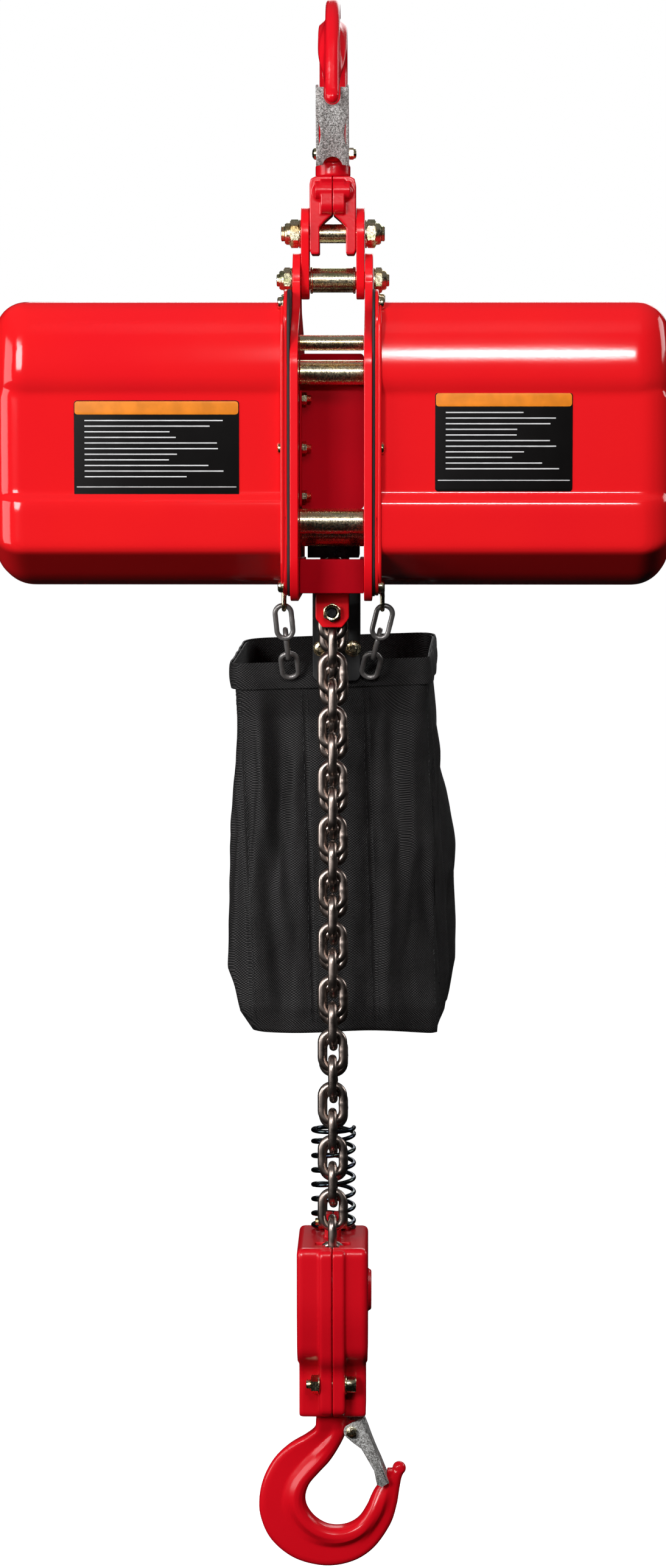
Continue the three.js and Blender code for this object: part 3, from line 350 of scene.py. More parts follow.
def make_materials():
    gold = [(0.55, 0.34, 0.12), (0.74, 0.54, 0.26), (0.86, 0.78, 0.56), (0.5, 0.52, 0.26), (0.7, 0.4, 0.24)]
    oiled = [(0.02, 0.03, 0.03), (0.08, 0.1, 0.09), (0.03, 0.04, 0.07), (0.12, 0.1, 0.1)]
    return {
        "cover": enamel("cover_enamel", (0.72, 0.010, 0.012), (0.69, 0.008, 0.013), 0.00003, 0.1),
        "plate": enamel("plate_enamel", (0.74, 0.006, 0.012), (0.70, 0.005, 0.011), 0.00005, 0.2),
        "cast": enamel("casting_enamel", (0.62, 0.004, 0.012), (0.56, 0.003, 0.010), 0.00008, 0.22),
        "forged": enamel("forged_enamel", (0.66, 0.004, 0.012), (0.60, 0.003, 0.010), 0.00006, 0.2),
        # The guard enamel is darker than the other reds as painted shade, for the guard panel and the anchor bar
        # in the shadow between the side plates.
        "guard": enamel("guard_enamel_painted_shade", (0.42, 0.0005, 0.008), (0.33, 0.0004, 0.006), 0.00006, 0.5, 0.04),
        "zinc": plated("yellow_zinc", gold, 0.24, (0.5, 2.2, 2.2)),
        "fastener": plated("fastener_zinc", gold, 0.2, (1.6, 1.6, 1.6)),
        "latch": grainy_zinc(),
        "chain": bare_metal("chain_steel", (0.44, 0.36, 0.32), 0.3, 120.0, patches=0.8),
        "small_chain": bare_metal("small_chain_steel", (0.4, 0.38, 0.37), 0.32, 120.0, metallic=0.6),
        "spring": plated("spring_steel", oiled, 0.17, (2, 2, 2)),
        "black_steel": bare_metal("black_steel", (0.035, 0.035, 0.038), 0.3),
        "machined": bare_metal("machined_steel", (0.5, 0.51, 0.53), 0.3),
        "laminations": bare_metal("laminations", (0.32, 0.33, 0.34), 0.45, 900.0),
        "plastic": plain("black_plastic", (0.018, 0.018, 0.018), 0.5),
        "gasket": plain("gasket_rubber", (0.016, 0.016, 0.017), 0.7, 120.0, 0.0004),
        "bracket": plain("bracket_paint", (0.008, 0.008, 0.009), 0.5),
        "nylon": woven_nylon(),
        "thread": plain("thread", (0.02, 0.02, 0.021), 0.55, 900.0),
        "label_black": plain("label_black", (0.0035, 0.003, 0.003), 0.35, 80.0, 0.00002, 0.08),
        "label_orange": plain("label_orange", (0.75, 0.22, 0.012), 0.4, 80.0, 0.00002, 0.2),
        "label_white": plain("label_white", (0.62, 0.62, 0.63), 0.42, 80.0, 0.00002, 0.2),
    }


# ------------------------------------------------------------------ mesh helpers, in millimetres
# A part is (points, faces): an array of points and lists of point numbers.


def merged(*parts):
    points, faces, start = [], [], 0
    for part_points, part_faces in parts:
        points.append(np.asarray(part_points, float))
        faces += [[i + start for i in face] for face in part_faces]
        start += len(part_points)
    return np.concatenate(points), faces


def mapped(part, matrix):
    points = np.asarray(part[0], float)
    rotated = points @ np.array(matrix.to_3x3()).T + np.array(matrix.translation)
    return rotated, part[1]


def shifted(part, offset):
    return np.asarray(part[0], float) + np.asarray(offset, float), part[1]


def mirrored(part, side):
    """The part as it is for side 1, and on the other side of X = 0 for side -1."""
    return np.asarray(part[0], float) * (side, 1, 1), part[1]


AXES = {"X": (1, 2, 0), "Y": (0, 2, 1), "Z": (0, 1, 2)}


def oriented(across, up, along, axis):
    """Points from two coordinates across an axis and one along it."""
    place = np.empty((len(across), 3))
    first, second, third = AXES[axis]
    place[:, first], place[:, second], place[:, third] = across, up, along
    return place


def turned(rings, centre=(0, 0, 0), axis="Z", sides=48):
    """Rings of (radius, height) round an axis. Each may be a function of the angle; radius 0 is a point."""
    angles = np.arange(sides) * 2 * math.pi / sides
    points, numbers = [], []
    count = 0
    for radius, height in rings:
        if not callable(radius) and radius == 0:
            points.append(oriented([0.0], [0.0], [height], axis))
            numbers.append([count] * sides)
            count += 1
            continue
        r = radius(angles) if callable(radius) else np.full(sides, float(radius))
        h = height(angles) if callable(height) else np.full(sides, float(height))
        points.append(oriented(r * np.cos(angles), r * np.sin(angles), h, axis))
        numbers.append(list(range(count, count + sides)))
        count += sides
    faces = []
    for low, high in zip(numbers, numbers[1:]):
        for i in range(sides):
            j = (i + 1) % sides
            corners = list(dict.fromkeys([low[i], low[j], high[j], high[i]]))
            if len(corners) > 2:
                faces.append(corners)
    return shifted((np.concatenate(points), faces), centre)


def rod(radius, low, high, centre, axis, sides=48, chamfer=0.4):
    rings = [(0, low), (radius - chamfer, low), (radius, low + chamfer)]
    rings += [(radius, high - chamfer), (radius - chamfer, high), (0, high)]
    return turned(rings, centre, axis, sides)


def tube_ring(inner, outer, low, high, centre, axis, sides=48, chamfer=0.3):
    rings = [(inner, low), (outer - chamfer, low), (outer, low + chamfer)]
    rings += [(outer, high - chamfer), (outer - chamfer, high), (inner, high), (inner, low)]
    return turned(rings, centre, axis, sides)


def hexagon(across_flats, low, high, centre, axis, bore=0.0):
    """A hexagon with its corners chamfered at both ends, such as a nut or a bolt head."""
    flat = across_flats / 2
    top = flat * 0.97

    def edge(angles):
        return flat / np.cos((angles + math.pi / 6) % (math.pi / 3) - math.pi / 6)

    def slope(angles):
        return (edge(angles) - top) * math.tan(math.radians(30))

    rings = [(bore, low), (top, low), (edge, lambda a: low + slope(a)), (edge, lambda a: high - slope(a))]
    rings += [(top, high), (bore, high)]
    if bore:
        rings.append((bore, low))
    return turned(rings, centre, axis, 72)


def threaded(radius, low, high, centre, axis, pitch=1.25, dome=1.2):
    """A bolt's end, from low out to high, with its thread as ridges."""
    depth = pitch * 0.28
    side = 1 if high > low else -1
    turns = int(abs(high - low) / pitch)
    rings = [(0, low)]
    for i in range(turns):
        start = low + side * i * pitch
        rings += [(radius - depth, start), (radius, start + side * pitch * 0.5)]
    rings += [(radius - depth, high - side * 0.3), (radius - dome, high), (0, high)]
    return turned(rings, centre, axis, 32)


def coil(radius, wire, low, high, turns, centre, axis, sides=10, steps_per_turn=28, close=0.0):
    """A helical spring. close is the share of the turns at each end that lie against each other."""
    steps = int(turns * steps_per_turn)
    t = np.linspace(0, 1, steps + 1)
    tight = 2 * wire * 1.06 / (high - low - 2 * wire) * turns
    rise = np.interp(t, [0, close, 1 - close, 1], [0, close * tight, 1 - close * tight, 1]) if close else t
    angles = t * turns * 2 * math.pi
    along = low + wire + rise * (high - low - 2 * wire)
    path = oriented(radius * np.cos(angles), radius * np.sin(angles), along, axis)
    return shifted(swept(path, wire, sides), centre)


def swept(path, radius, sides=12, closed=False):
    """A round bar along a path, which may be closed. radius may be one number or one for each point."""
    path = np.asarray(path, float)
    count = len(path)
    radii = np.full(count, radius) if np.isscalar(radius) else np.asarray(radius, float)
    tangents = np.roll(path, -1, 0) - np.roll(path, 1, 0)
    if not closed:
        tangents[0], tangents[-1] = path[1] - path[0], path[-1] - path[-2]
    tangents /= np.linalg.norm(tangents, axis=1)[:, None]
    normal = np.cross(tangents[0], (0.31, 0.87, 0.38))
    angles = np.arange(sides) * 2 * math.pi / sides
    rings = []
    for i in range(count):
        normal = normal - tangents[i] * (normal @ tangents[i])
        normal /= np.linalg.norm(normal)
        side = np.cross(tangents[i], normal)
        circle = np.outer(np.cos(angles), normal) + np.outer(np.sin(angles), side)
        rings.append(path[i] + circle * radii[i])
    points = np.concatenate(rings)
    faces = []
    for i in range(count if closed else count - 1):
        low, high = i * sides, ((i + 1) % count) * sides
        twist = 0
        if closed and i == count - 1:
            gaps = [np.linalg.norm(points[low] - points[k]) for k in range(sides)]
            twist = int(np.argmin(gaps))
        for k in range(sides):
            n = (k + 1) % sides
            faces.append([low + k, low + n, high + (n + twist) % sides, high + (k + twist) % sides])
    if not closed:
        faces.append(list(range(sides)))
        faces.append(list(range((count - 1) * sides, count * sides)))
    return points, faces


def block(x, y, z):
    """A plain box between two X, two Y and two Z, which other parts cut, join or bevel."""
    points = [(a, b, c) for a in x for b in y for c in z]
    faces = [(0, 1, 3, 2), (4, 6, 7, 5), (0, 4, 5, 1), (2, 3, 7, 6), (0, 2, 6, 4), (1, 5, 7, 3)]
    return np.array(points, float), faces


def prism(outline, low, high, axis):
    """An outline of two coordinates across the axis, from low to high along it."""
    outline = np.asarray(outline, float)
    count = len(outline)
    ends = [oriented(outline[:, 0], outline[:, 1], np.full(count, h), axis) for h in (low, high)]
    faces = [list(range(count)), list(range(count, 2 * count))]
    faces += [[i, (i + 1) % count, count + (i + 1) % count, count + i] for i in range(count)]
    return np.concatenate(ends), faces


def arc(centre, radius, start, stop, steps=16):
    """Points on an arc, angles in degrees."""
    angles = np.radians(np.linspace(start, stop, steps + 1))
    return [(centre[0] + radius * math.cos(a), centre[1] + radius * math.sin(a)) for a in angles]


def rounded_rectangle(a, b, radius, steps=8):
    corners = [((a[1] - radius, b[0] + radius), -90), ((a[1] - radius, b[1] - radius), 0)]
    corners += [((a[0] + radius, b[1] - radius), 90), ((a[0] + radius, b[0] + radius), 180)]
    return [p for centre, start in corners for p in arc(centre, radius, start, start + 90, steps)]


def rounded(outline, radii, steps=5):
    """An outline with each corner cut round by its own radius."""
    outline = [np.array(p, float) for p in outline]
    points = []
    for i, corner in enumerate(outline):
        before, after = outline[i - 1] - corner, outline[(i + 1) % len(outline)] - corner
        reach = min(radii[i], 0.49 * np.linalg.norm(before), 0.49 * np.linalg.norm(after))
        start = corner + before / np.linalg.norm(before) * reach
        stop = corner + after / np.linalg.norm(after) * reach
        for t in np.linspace(0, 1, steps + 1):
            points.append(tuple((1 - t) ** 2 * start + 2 * t * (1 - t) * corner + t**2 * stop))
    return points


def smooth_line(points, steps):
    """A curve through the points, with the given number of steps between each two (Catmull-Rom)."""
    p = np.array([points[0], *points, points[-1]], float)
    out = []
    for a, b, c, d in zip(p, p[1:], p[2:], p[3:]):
        squared, cubed = 2 * a - 5 * b + 4 * c - d, 3 * b - a - 3 * c + d
        for t in np.linspace(0, 1, steps, endpoint=False):
            out.append(0.5 * (2 * b + (c - a) * t + squared * t**2 + cubed * t**3))
    return np.array([*out, p[-1]])


# ------------------------------------------------------------------ objects


def make_object(name, part):
    points, faces = part
    mesh = bpy.data.meshes.new(name)
    mesh.from_pydata([tuple(p) for p in np.asarray(points) * MM], [], [tuple(f) for f in faces])
    shell = bmesh.new()
    shell.from_mesh(mesh)
    bmesh.ops.remove_doubles(shell, verts=shell.verts, dist=1e-7)
    bmesh.ops.recalc_face_normals(shell, faces=shell.faces)
    shell.to_mesh(mesh)
    shell.free()
    made = bpy.data.objects.new(name, mesh)
    bpy.context.scene.collection.objects.link(made)
    return made


def applied(made):
    """The object with its modifiers made part of its mesh."""
    evaluated = made.evaluated_get(bpy.context.evaluated_depsgraph_get())
    mesh = bpy.data.meshes.new_from_object(evaluated)
    made.modifiers.clear()
    old = made.data
    made.data = mesh
    bpy.data.meshes.remove(old)
    return made


def as_part(made):
    """The points and faces of an object, which is removed."""
    points = np.array([v.co for v in made.data.vertices]) / MM
    faces = [list(p.vertices) for p in made.data.polygons]
    bpy.data.objects.remove(made)
    return points, faces


def carved(made, *tools, operation="DIFFERENCE"):
    """made, cut or joined by parts."""
    for tool in tools:
        cutter = make_object("cutter", tool)
        modifier = made.modifiers.new("cut", "BOOLEAN")
        modifier.operation = operation
        modifier.solver = "EXACT"
        modifier.object = cutter
        applied(made)
        bpy.data.objects.remove(cutter)
    return made


def softened(made, width, segments=2, angle=35):
    """made, with its sharp edges rounded to a width in millimetres."""
    modifier = made.modifiers.new("round", "BEVEL")
    modifier.width = width * MM
    modifier.segments = segments
    modifier.limit_method = "ANGLE"
    modifier.angle_limit = math.radians(angle)
    modifier.use_clamp_overlap = True
    return applied(made)


def melted(made, voxel, passes):
    """made, with its joints and edges rounded as in a casting or a forging."""
    remesh = made.modifiers.new("melt", "REMESH")
    remesh.mode = "VOXEL"
    remesh.voxel_size = voxel * MM
    smooth = made.modifiers.new("smooth", "SMOOTH")
    smooth.factor = 0.5
    smooth.iterations = passes
    return applied(made)


def plate(name, outlines, low, high, axis, bevel=0.6):
    """A flat plate with rounded edges: the first outline is its edge, and the others are its holes."""
    curve = bpy.data.curves.new(name, "CURVE")
    curve.dimensions = "2D"
    curve.fill_mode = "BOTH"
    for outline in outlines:
        spline = curve.splines.new("POLY")
        spline.points.add(len(outline) - 1)
        for point, (a, b) in zip(spline.points, outline):
            point.co = (a * MM, b * MM, 0, 1)
        spline.use_cyclic_u = True
    curve.extrude = ((high - low) / 2 - bevel) * MM
    curve.bevel_depth = bevel * MM
    curve.bevel_resolution = 2
    curve.offset = -bevel * MM
    flat = bpy.data.objects.new(name, curve)
    bpy.context.scene.collection.objects.link(flat)
    mesh = bpy.data.meshes.new_from_object(flat.evaluated_get(bpy.context.evaluated_depsgraph_get()))
    bpy.data.objects.remove(flat)
    points = np.array([v.co for v in mesh.vertices]) / MM
    faces = [list(p.vertices) for p in mesh.polygons]
    bpy.data.meshes.remove(mesh)
    place = oriented(points[:, 0], points[:, 1], points[:, 2] + (low + high) / 2, axis)
    made = make_object(name, (place, faces))
    weld = bmesh.new()
    weld.from_mesh(made.data)
    bmesh.ops.remove_doubles(weld, verts=weld.verts, dist=1e-5)
    bmesh.ops.recalc_face_normals(weld, faces=weld.faces)
    weld.to_mesh(made.data)
    weld.free()
    return made


def finished(made, material, body, *nodes, slot=None, angle=40, flat_faces=False):
    """Gives a piece its material, smooth shading and body, and hides the CAD nodes that it stands for.

    The slot argument is not used.
    """
    made.data.materials.clear()
    made.data.materials.append(MATERIALS[material])
    made.data.polygons.foreach_set("use_smooth", [True] * len(made.data.polygons))
    made.data.set_sharp_from_angle(angle=math.radians(angle))
    if flat_faces:
        made.modifiers.new("flat_faces", "WEIGHTED_NORMAL").keep_sharp = True
        applied(made)
    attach(made, body)
    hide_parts(*nodes)
    return made


def piece(name, parts, material, body, *nodes, angle=40):
    """A piece made of parts that touch or cross, such as a bolt and its nut."""
    return finished(make_object(name, merged(*parts)), material, body, *nodes, angle=angle)


# ------------------------------------------------------------------ load chain

PITCH = 21.0
LOAD_CHAIN = {"wire": 7.1, "width": 23.5, "pitch": PITCH}
BAG_CHAIN = {"wire": 4.0, "width": 16.6, "pitch": 22.5}
CAD_LINK_REACH = 17.69  # from a CAD link's centre to its end


def chain_link(wire, width, pitch, extra=0.0, thinner=0.0, sides=14):
    """A round-wire link along Z, lying in the XZ plane, with its weld on the +X limb."""
    crown = (width - wire) / 2
    half = (pitch + wire) / 2 - crown
    top = [(crown * math.cos(a), half + crown * math.sin(a)) for a in np.linspace(0, math.pi, 15)]
    bottom = [(x, -z - extra) for x, z in reversed(top)]
    limb = [(crown, z) for z in np.linspace(-half * 0.6, half * 0.6, 7)]
    path = [(x, 0, z) for x, z in [*limb, *top, *bottom]]
    radii = np.full(len(path), wire / 2 - thinner)
    radii[2:5] += wire * np.array([0.012, 0.03, 0.012])
    return swept(path, radii, sides, closed=True)


def chain_links(count, place, size, edge_on=False, gap_below=0.0, thinner=0.0):
    """Links along a route: place(i) gives a link's centre and its lean about X and twist about Y."""
    links = []
    for i in range(count):
        x, y, z, lean, twist = place(i)
        turn = Matrix.Rotation(HALF, 4, "Z") if (i % 2 == 1) != edge_on else Matrix.Identity(4)
        pose = Matrix.Translation((x, y, z)) @ Matrix.Rotation(twist, 4, "Y") @ Matrix.Rotation(lean, 4, "X")
        extra = gap_below if i == count - 1 else 0.0
        links.append(mapped(chain_link(**size, extra=extra, thinner=thinner), pose @ turn))
    return merged(*links)


def over_half_circle(distance, y, z, radius, pitches, rise):
    """A point on a route up one side, over a half circle of whole pitches, and down the other side."""
    arc_length = pitches / 2 * PITCH
    if distance < rise:
        return np.array([y - radius, z - rise + distance])
    if distance > rise + arc_length:
        return np.array([y + radius, z - (distance - rise - arc_length)])
    angle = math.pi * (distance - rise) / arc_length
    return np.array([y - radius * math.cos(angle), z + radius * math.sin(angle)])


def link_on_route(distance, *route):
    low = over_half_circle(distance - PITCH / 2, *route)
    high = over_half_circle(distance + PITCH / 2, *route)
    y, z = (low + high) / 2
    return 0.0, y, z, math.atan2(low[0] - high[0], high[1] - low[1]), 0.0


def make_load_chain():
    for name, edge_on in (("dead_fall", False), ("live_fall", True)):
        for segment, body in enumerate(("hoist_frame", "chain_middle", "hook_block"), 1):
            low, high = span(f"{name}_{segment}")
            y, top = (low[1] + high[1]) / 2, high[2] - CAD_LINK_REACH
            # Each stretch is a little thinner, so that none share a surface when they slide together.
            thinner = 0.08 * (segment - 1)
            part = chain_links(8, lambda i: (0, y, top - i * PITCH, 0, 0), LOAD_CHAIN, edge_on, 0.9, thinner)
            piece(f"{name}_links_{segment}", [part], "chain", body, f"{name}_{segment}")

    live_top = span("live_fall_1")[1][2] - CAD_LINK_REACH
    radius = PITCH / (2 * math.sin(math.pi / 10))
    route = (SHEAVE[1], SHEAVE[2], radius, 10, SHEAVE[2] - live_top - PITCH)
    part = chain_links(19, lambda i: link_on_route((18 - i) * PITCH, *route), LOAD_CHAIN, False, 0.9, 0.04)
    piece("links_over_sheave", [part], "chain", "hoist_frame", "chain_over_sheave")

    dead_top = span("dead_fall_1")[1][2] - CAD_LINK_REACH
    radius = PITCH / (2 * math.sin(math.pi / 8))
    under_route = (0.0, -IDLER[2], radius, 8, dead_top - 24 * PITCH - IDLER[2])

    def under_idler(i):
        x, y, z, lean, twist = link_on_route(i * PITCH, *under_route)
        return x, y, -z, -lean, twist

    part = chain_links(8, under_idler, LOAD_CHAIN, thinner=0.12)
    piece("links_in_block", [part], "chain", "hook_block", "chain_in_block")


# ------------------------------------------------------------------ hooks

# Stations along a hook's body, as (inner edge, outer edge, bead half thickness, web half thickness). They
# are drawn round the centre of the bowl, with the shank up and the tip to the right.
HOOK_STATIONS = [
    ((9.6, 70), (-16.2, 70), 12.4, 12.4),
    ((9.4, 62), (-16.8, 62), 11.3, 11.3),
    ((7.8, 53), (-17.9, 54.5), 10.8, 9.6),
    ((3, 42), (-25, 49), 11, 7.6),
    ((-5, 29), (-38, 41.5), 11, 6.2),
    ((-14, 19), (-50, 30), 11, 5.5),
    ((-21.5, 10), (-58.5, 14), 11, 5.5),
    ((-25, 0), (-62, -3), 11, 5.5),
    ((-23.5, -9), (-60.5, -19), 11, 5.5),
    ((-17.5, -17.5), (-52, -36.5), 11, 5.5),
    ((-9, -23), (-34, -51), 11, 5.5),
    ((0, -24.6), (-10, -57), 11, 5.5),
    ((9.5, -22.7), (12, -53.5), 11, 5.5),
    ((17.5, -17.3), (29, -42.5), 11, 5.5),
    ((23.5, -8), (42, -24), 11, 5.5),
    ((26.5, -1), (47.3, -8), 9.5, 5.5),
    ((30, 6), (49.6, 6), 6.6, 5.5),
    ((35, 12), (51.3, 15), 5.5, 5.5),
    ((42, 19.5), (53.9, 21.5), 5.2, 5.2),
]
SHANK_OFFSET = 3.3
SHANK_RADIUS = 9.8
COLLAR = (70, 79.4, 13.5)
SHANK_END = 104


def hook_section(inner, outer, bead, web, steps=13):
    """A ring of points round a hook's body at one station."""
    inner, outer = np.array(inner), np.array(outer)
    depth = np.linalg.norm(outer - inner)
    rounding = min(4.6, web)
    crest = min(7.5, depth / 2)
    positions = (1 - np.cos(np.linspace(0, math.pi, steps))) / 2 * depth
    sides = []
    for s in positions:
        rim = max(0.0, s - (depth - rounding)) / rounding
        flat = web - rounding + rounding * math.sqrt(max(0.0, 1 - rim**2))
        toward = max(0.0, (crest - s) / crest)
        rise = (1 - toward**2.4) ** (1 / 2.4)
        away = min(1.0, max(0.0, (s - crest - 3) / 9))
        fade = 1 - away * away * (3 - 2 * away)
        sides.append(max(bead * rise * fade, min(flat, bead * rise) if toward > 0 else flat))
    line = [inner + (outer - inner) * s / depth for s in positions]
    right = [(p[0], p[1], w) for p, w in zip(line, sides)]
    left = [(p[0], p[1], -w) for p, w in zip(reversed(line[1:-1]), reversed(sides[1:-1]))]
    return np.array([*right, *left])


def lofted(rings, closed_ends=True):
    """Skin over rings that have the same number of points."""
    count = len(rings[0])
    faces = []
    for i in range(len(rings) - 1):
        for k in range(count):
            n = (k + 1) % count
            faces.append([i * count + k, i * count + n, (i + 1) * count + n, (i + 1) * count + k])
    if closed_ends:
        faces.append(list(range(count)))
        faces.append(list(range((len(rings) - 1) * count, len(rings) * count)))
    return np.concatenate(rings), faces


def hook_parts(latch_pivot):
    edges = [smooth_line([s[i] for s in HOOK_STATIONS], 5) for i in (0, 1)]
    sizes = smooth_line([(s[2], s[3]) for s in HOOK_STATIONS], 5)
    rings = [hook_section(a, b, bead, web) for a, b, (bead, web) in zip(*edges, sizes)]
    parts = [lofted(rings)]
    tip = [(0, -5.2), (3.2, -4.4), (5.4, -1.6), (5.4, 1.6), (3.2, 4.4), (0, 5.2)]
    parts.append(turned(tip, (49.2, 22.2, 0), "Z", 24))
    low, high, radius = COLLAR
    start = (-SHANK_OFFSET, 0, 0)
    shank = [(0, 62), (9, 62), (12.2, low), (radius - 0.8, low), (radius, low + 1), (radius, high - 1)]
    shank += [(radius - 0.8, high), (SHANK_RADIUS, high), (SHANK_RADIUS, SHANK_END), (0, SHANK_END)]
    parts.append(turned(shank, start, "Y", 40))
    x, y = latch_pivot
    parts.append(rod(5.5, -4.5, 4.5, (x, y, 0), "Z", 28))
    parts.append(block((x - 12, x), (y - 5, y + 4.6), (-4.5, 4.5)))
    parts.append(block((39.5, 44.5), (12, 21.5), (-5, 5)))
    return parts


def hung(across, along, through, offset):
    """The matrix from a hook's own drawing to its place: its tip side, its shank side and its thickness."""
    pose = Matrix([across, along, through]).transposed().to_4x4()
    pose.translation = offset
    return pose


BOWL = 24.6
TOP_PLACE = hung((0, -1, 0), (0, 0, -1), (1, 0, 0), (0, -SHANK_OFFSET, -BOWL))
BOTTOM_PLACE = hung((1, 0, 0), (0, 0, 1), (0, -1, 0), (SHANK_OFFSET, 0, BOTTOM_LATCH[2] - 54.6))


LATCH_HALF = 12.6
LATCH_SHEET = 2.2


def latch_front(length):
    """The latch's front plate, flat, as (along, across): a throat, waisted sides and a deep notch."""
    throat = [(-5.5 + a, b) for a, b in arc((0, 0), 7.4, -80, 80, 16)]
    waist = [(6 + 27 * t, LATCH_HALF - 3.6 * math.sin(math.pi * t) ** 0.8) for t in np.linspace(0, 1, 15)]
    side = [(-5.5, LATCH_HALF), *waist, (length - 1, LATCH_HALF), (length, LATCH_HALF - 1)]
    notch = [(length - 7.4 - a, b) for a, b in arc((0, 0), 6.2, 90, -90, 12)]
    return [*throat, *side, (length, 6.2), *notch, (length, -6.2), *[(a, -b) for a, b in reversed(side)]]


def latch_pieces(name, hinge, free_end, place, body, cad_node):
    """A pressed latch with its bolt, nut and two springs, drawn along its own length from its hinge."""
    along, across = free_end[0] - hinge[0], free_end[1] - hinge[1]
    length = math.hypot(along, across)
    own = place @ Matrix.Translation((*hinge, 0)) @ Matrix.Rotation(math.atan2(across, along), 4, "Z")
    half, sheet = LATCH_HALF, LATCH_SHEET
    slope = math.atan2(-5.3, length - 3)
    lift = Matrix.Translation((0, 11.2, 0)) @ Matrix.Rotation(slope, 4, "Z") @ Matrix.Rotation(HALF, 4, "X")
    front = as_part(plate(f"{name}_front", [latch_front(length)], -sheet / 2, sheet / 2, "Z", 0.5))
    cheek = [(-4.5, 12.2), (-6.2, 4), *arc((0, 0), 6.2, 200, 285, 10), (9, -3.2), (16, 0.2)]
    cheek.append((length - 15, 0.8))
    cheek += [(length - 4, -2.4), (length - 0.4, 0), (length - 0.6, 5.4), (length - 7, 7)]
    cheeks = [as_part(plate("cheek", [cheek], w, w + sheet, "Z", 0.5)) for w in (-half, half - sheet)]
    made = make_object(name, mapped(merged(mapped(front, lift), *cheeks), own))
    finished(made, "latch", body, cad_node, angle=50)

    # The bolt, with a low domed head on one side and a self-locking nut on the other.
    shank = rod(2.4, -half - 0.5, half + 5.6, (0, 0, 0), "Z", 24)
    head = turned([(0, -half - 3.2), (2.6, -half - 2.9), (4.4, -half - 1.5), (4.7, -half), (0, -half)])
    nut = hexagon(8, half, half + 3.6, (0, 0, 0), "Z")
    crown = turned([(0, half + 3.4), (3.9, half + 3.4), (3.6, half + 5), (2.6, half + 5.4), (0, half + 5.4)])
    piece(f"{name}_bolt", [mapped(p, own) for p in (shank, head, nut, crown)], "fastener", body)
    springs = [coil(3.6, 0.7, *ends, 3.6, (0, 0, 0), "Z", close=0.1) for ends in ((-10, -4.8), (4.8, 10))]
    for side in (-1, 1):
        leg = [(0, 3.6, 5.6 * side), (5, 6.2, 6.4 * side), (14, 7.6, 7.6 * side), (22, 7, 8 * side)]
        springs.append(swept(smooth_line(leg, 6), 0.7, 10))
    piece(f"{name}_spring", [mapped(p, own) for p in springs], "fastener", body)


def make_hooks():
    for name, place, hinge, free_end in (
        ("top", TOP_PLACE, (13, 62.5), (36.5, 12)),
        ("bottom", BOTTOM_PLACE, (11.5, 54.6), (35.6, 9.4)),
    ):
        parts = [mapped(part, place) for part in hook_parts(hinge)]
        made = melted(make_object(f"{name}_hook_forging", merged(*parts)), 0.75, 5)
        finished(made, "forged", f"{name}_hook", f"{name}_hook", angle=70)
        latch_pieces(f"{name}_latch_channel", hinge, free_end, place, f"{name}_latch", f"{name}_hook_latch")


# ------------------------------------------------------------------ suspension


def make_clevis():
    low, high = span("clevis_right")
    top, bottom, half, fork = high[2], low[2], high[0], 10.2
    pin_z = UPPER_PIN[2]
    profile = [(0.15, top), (half - 5, top), (half - 1, top - 2), (half, top - 6), (half, bottom + 3)]
    profile += [(half - 1.5, bottom), (fork + 1, bottom), (fork, bottom + 1), (fork, pin_z + 4)]
    profile += [(6, pin_z + 9), (0.15, pin_z + 14)]
    body = prism(profile, -17.5, 17.5, "Y")
    rib = prism(rounded_rectangle((-25, 25), (-133, -107), 7), 0.15, 9, "X")
    ears = [rod(6.4, 0.15, 13.5, (0, y, -115), "X", 32) for y in (-19, 19)]
    boss = turned([(0, -20.6), (5, -20.2), (7, -18.5), (7.4, -14), (0, -14)], (8.4, 0, -116), "Y", 32)
    hole = rod(SHANK_RADIUS + 0.5, -30, 6, (0, 0, top), "Z", 40)
    bore = rod(7.5, -40, 40, (0, 0, pin_z), "X", 40)
    nut_room = rod(15.2, -129.9, top - 13.5, (0, 0, 0), "Z", 40)
    for name, side in (("left", -1), ("right", 1)):
        made = make_object(f"clevis_casting_{name}", mirrored(body, side))
        carved(made, *[mirrored(extra, side) for extra in (rib, *ears, boss)], operation="UNION")
        carved(made, hole, nut_room, bore)
        finished(melted(made, 0.55, 4), "cast", "clevis", f"clevis_{name}", angle=70)


def pin_nut(side, z, face, flats, height, thread, end):
    """A prevailing-torque nut with a washer face and a round crown, and the pin's thread beyond it."""
    at = (0, 0, z)
    reach = face + height
    collar = [(flats * 0.46, face + height * 0.6), (flats * 0.44, reach - 1.2), (flats * 0.38, reach)]
    parts = [
        tube_ring(thread, flats * 0.58, face, face + 1.5, at, "X", chamfer=0.4),
        hexagon(flats, face + 1.3, face + height * 0.68, at, "X", thread),
        turned([(thread, face + height * 0.6), *collar, (thread, reach)], at, "X"),
        threaded(thread, face + height * 0.5, end, at, "X"),
    ]
    return [mirrored(part, side) for part in parts]


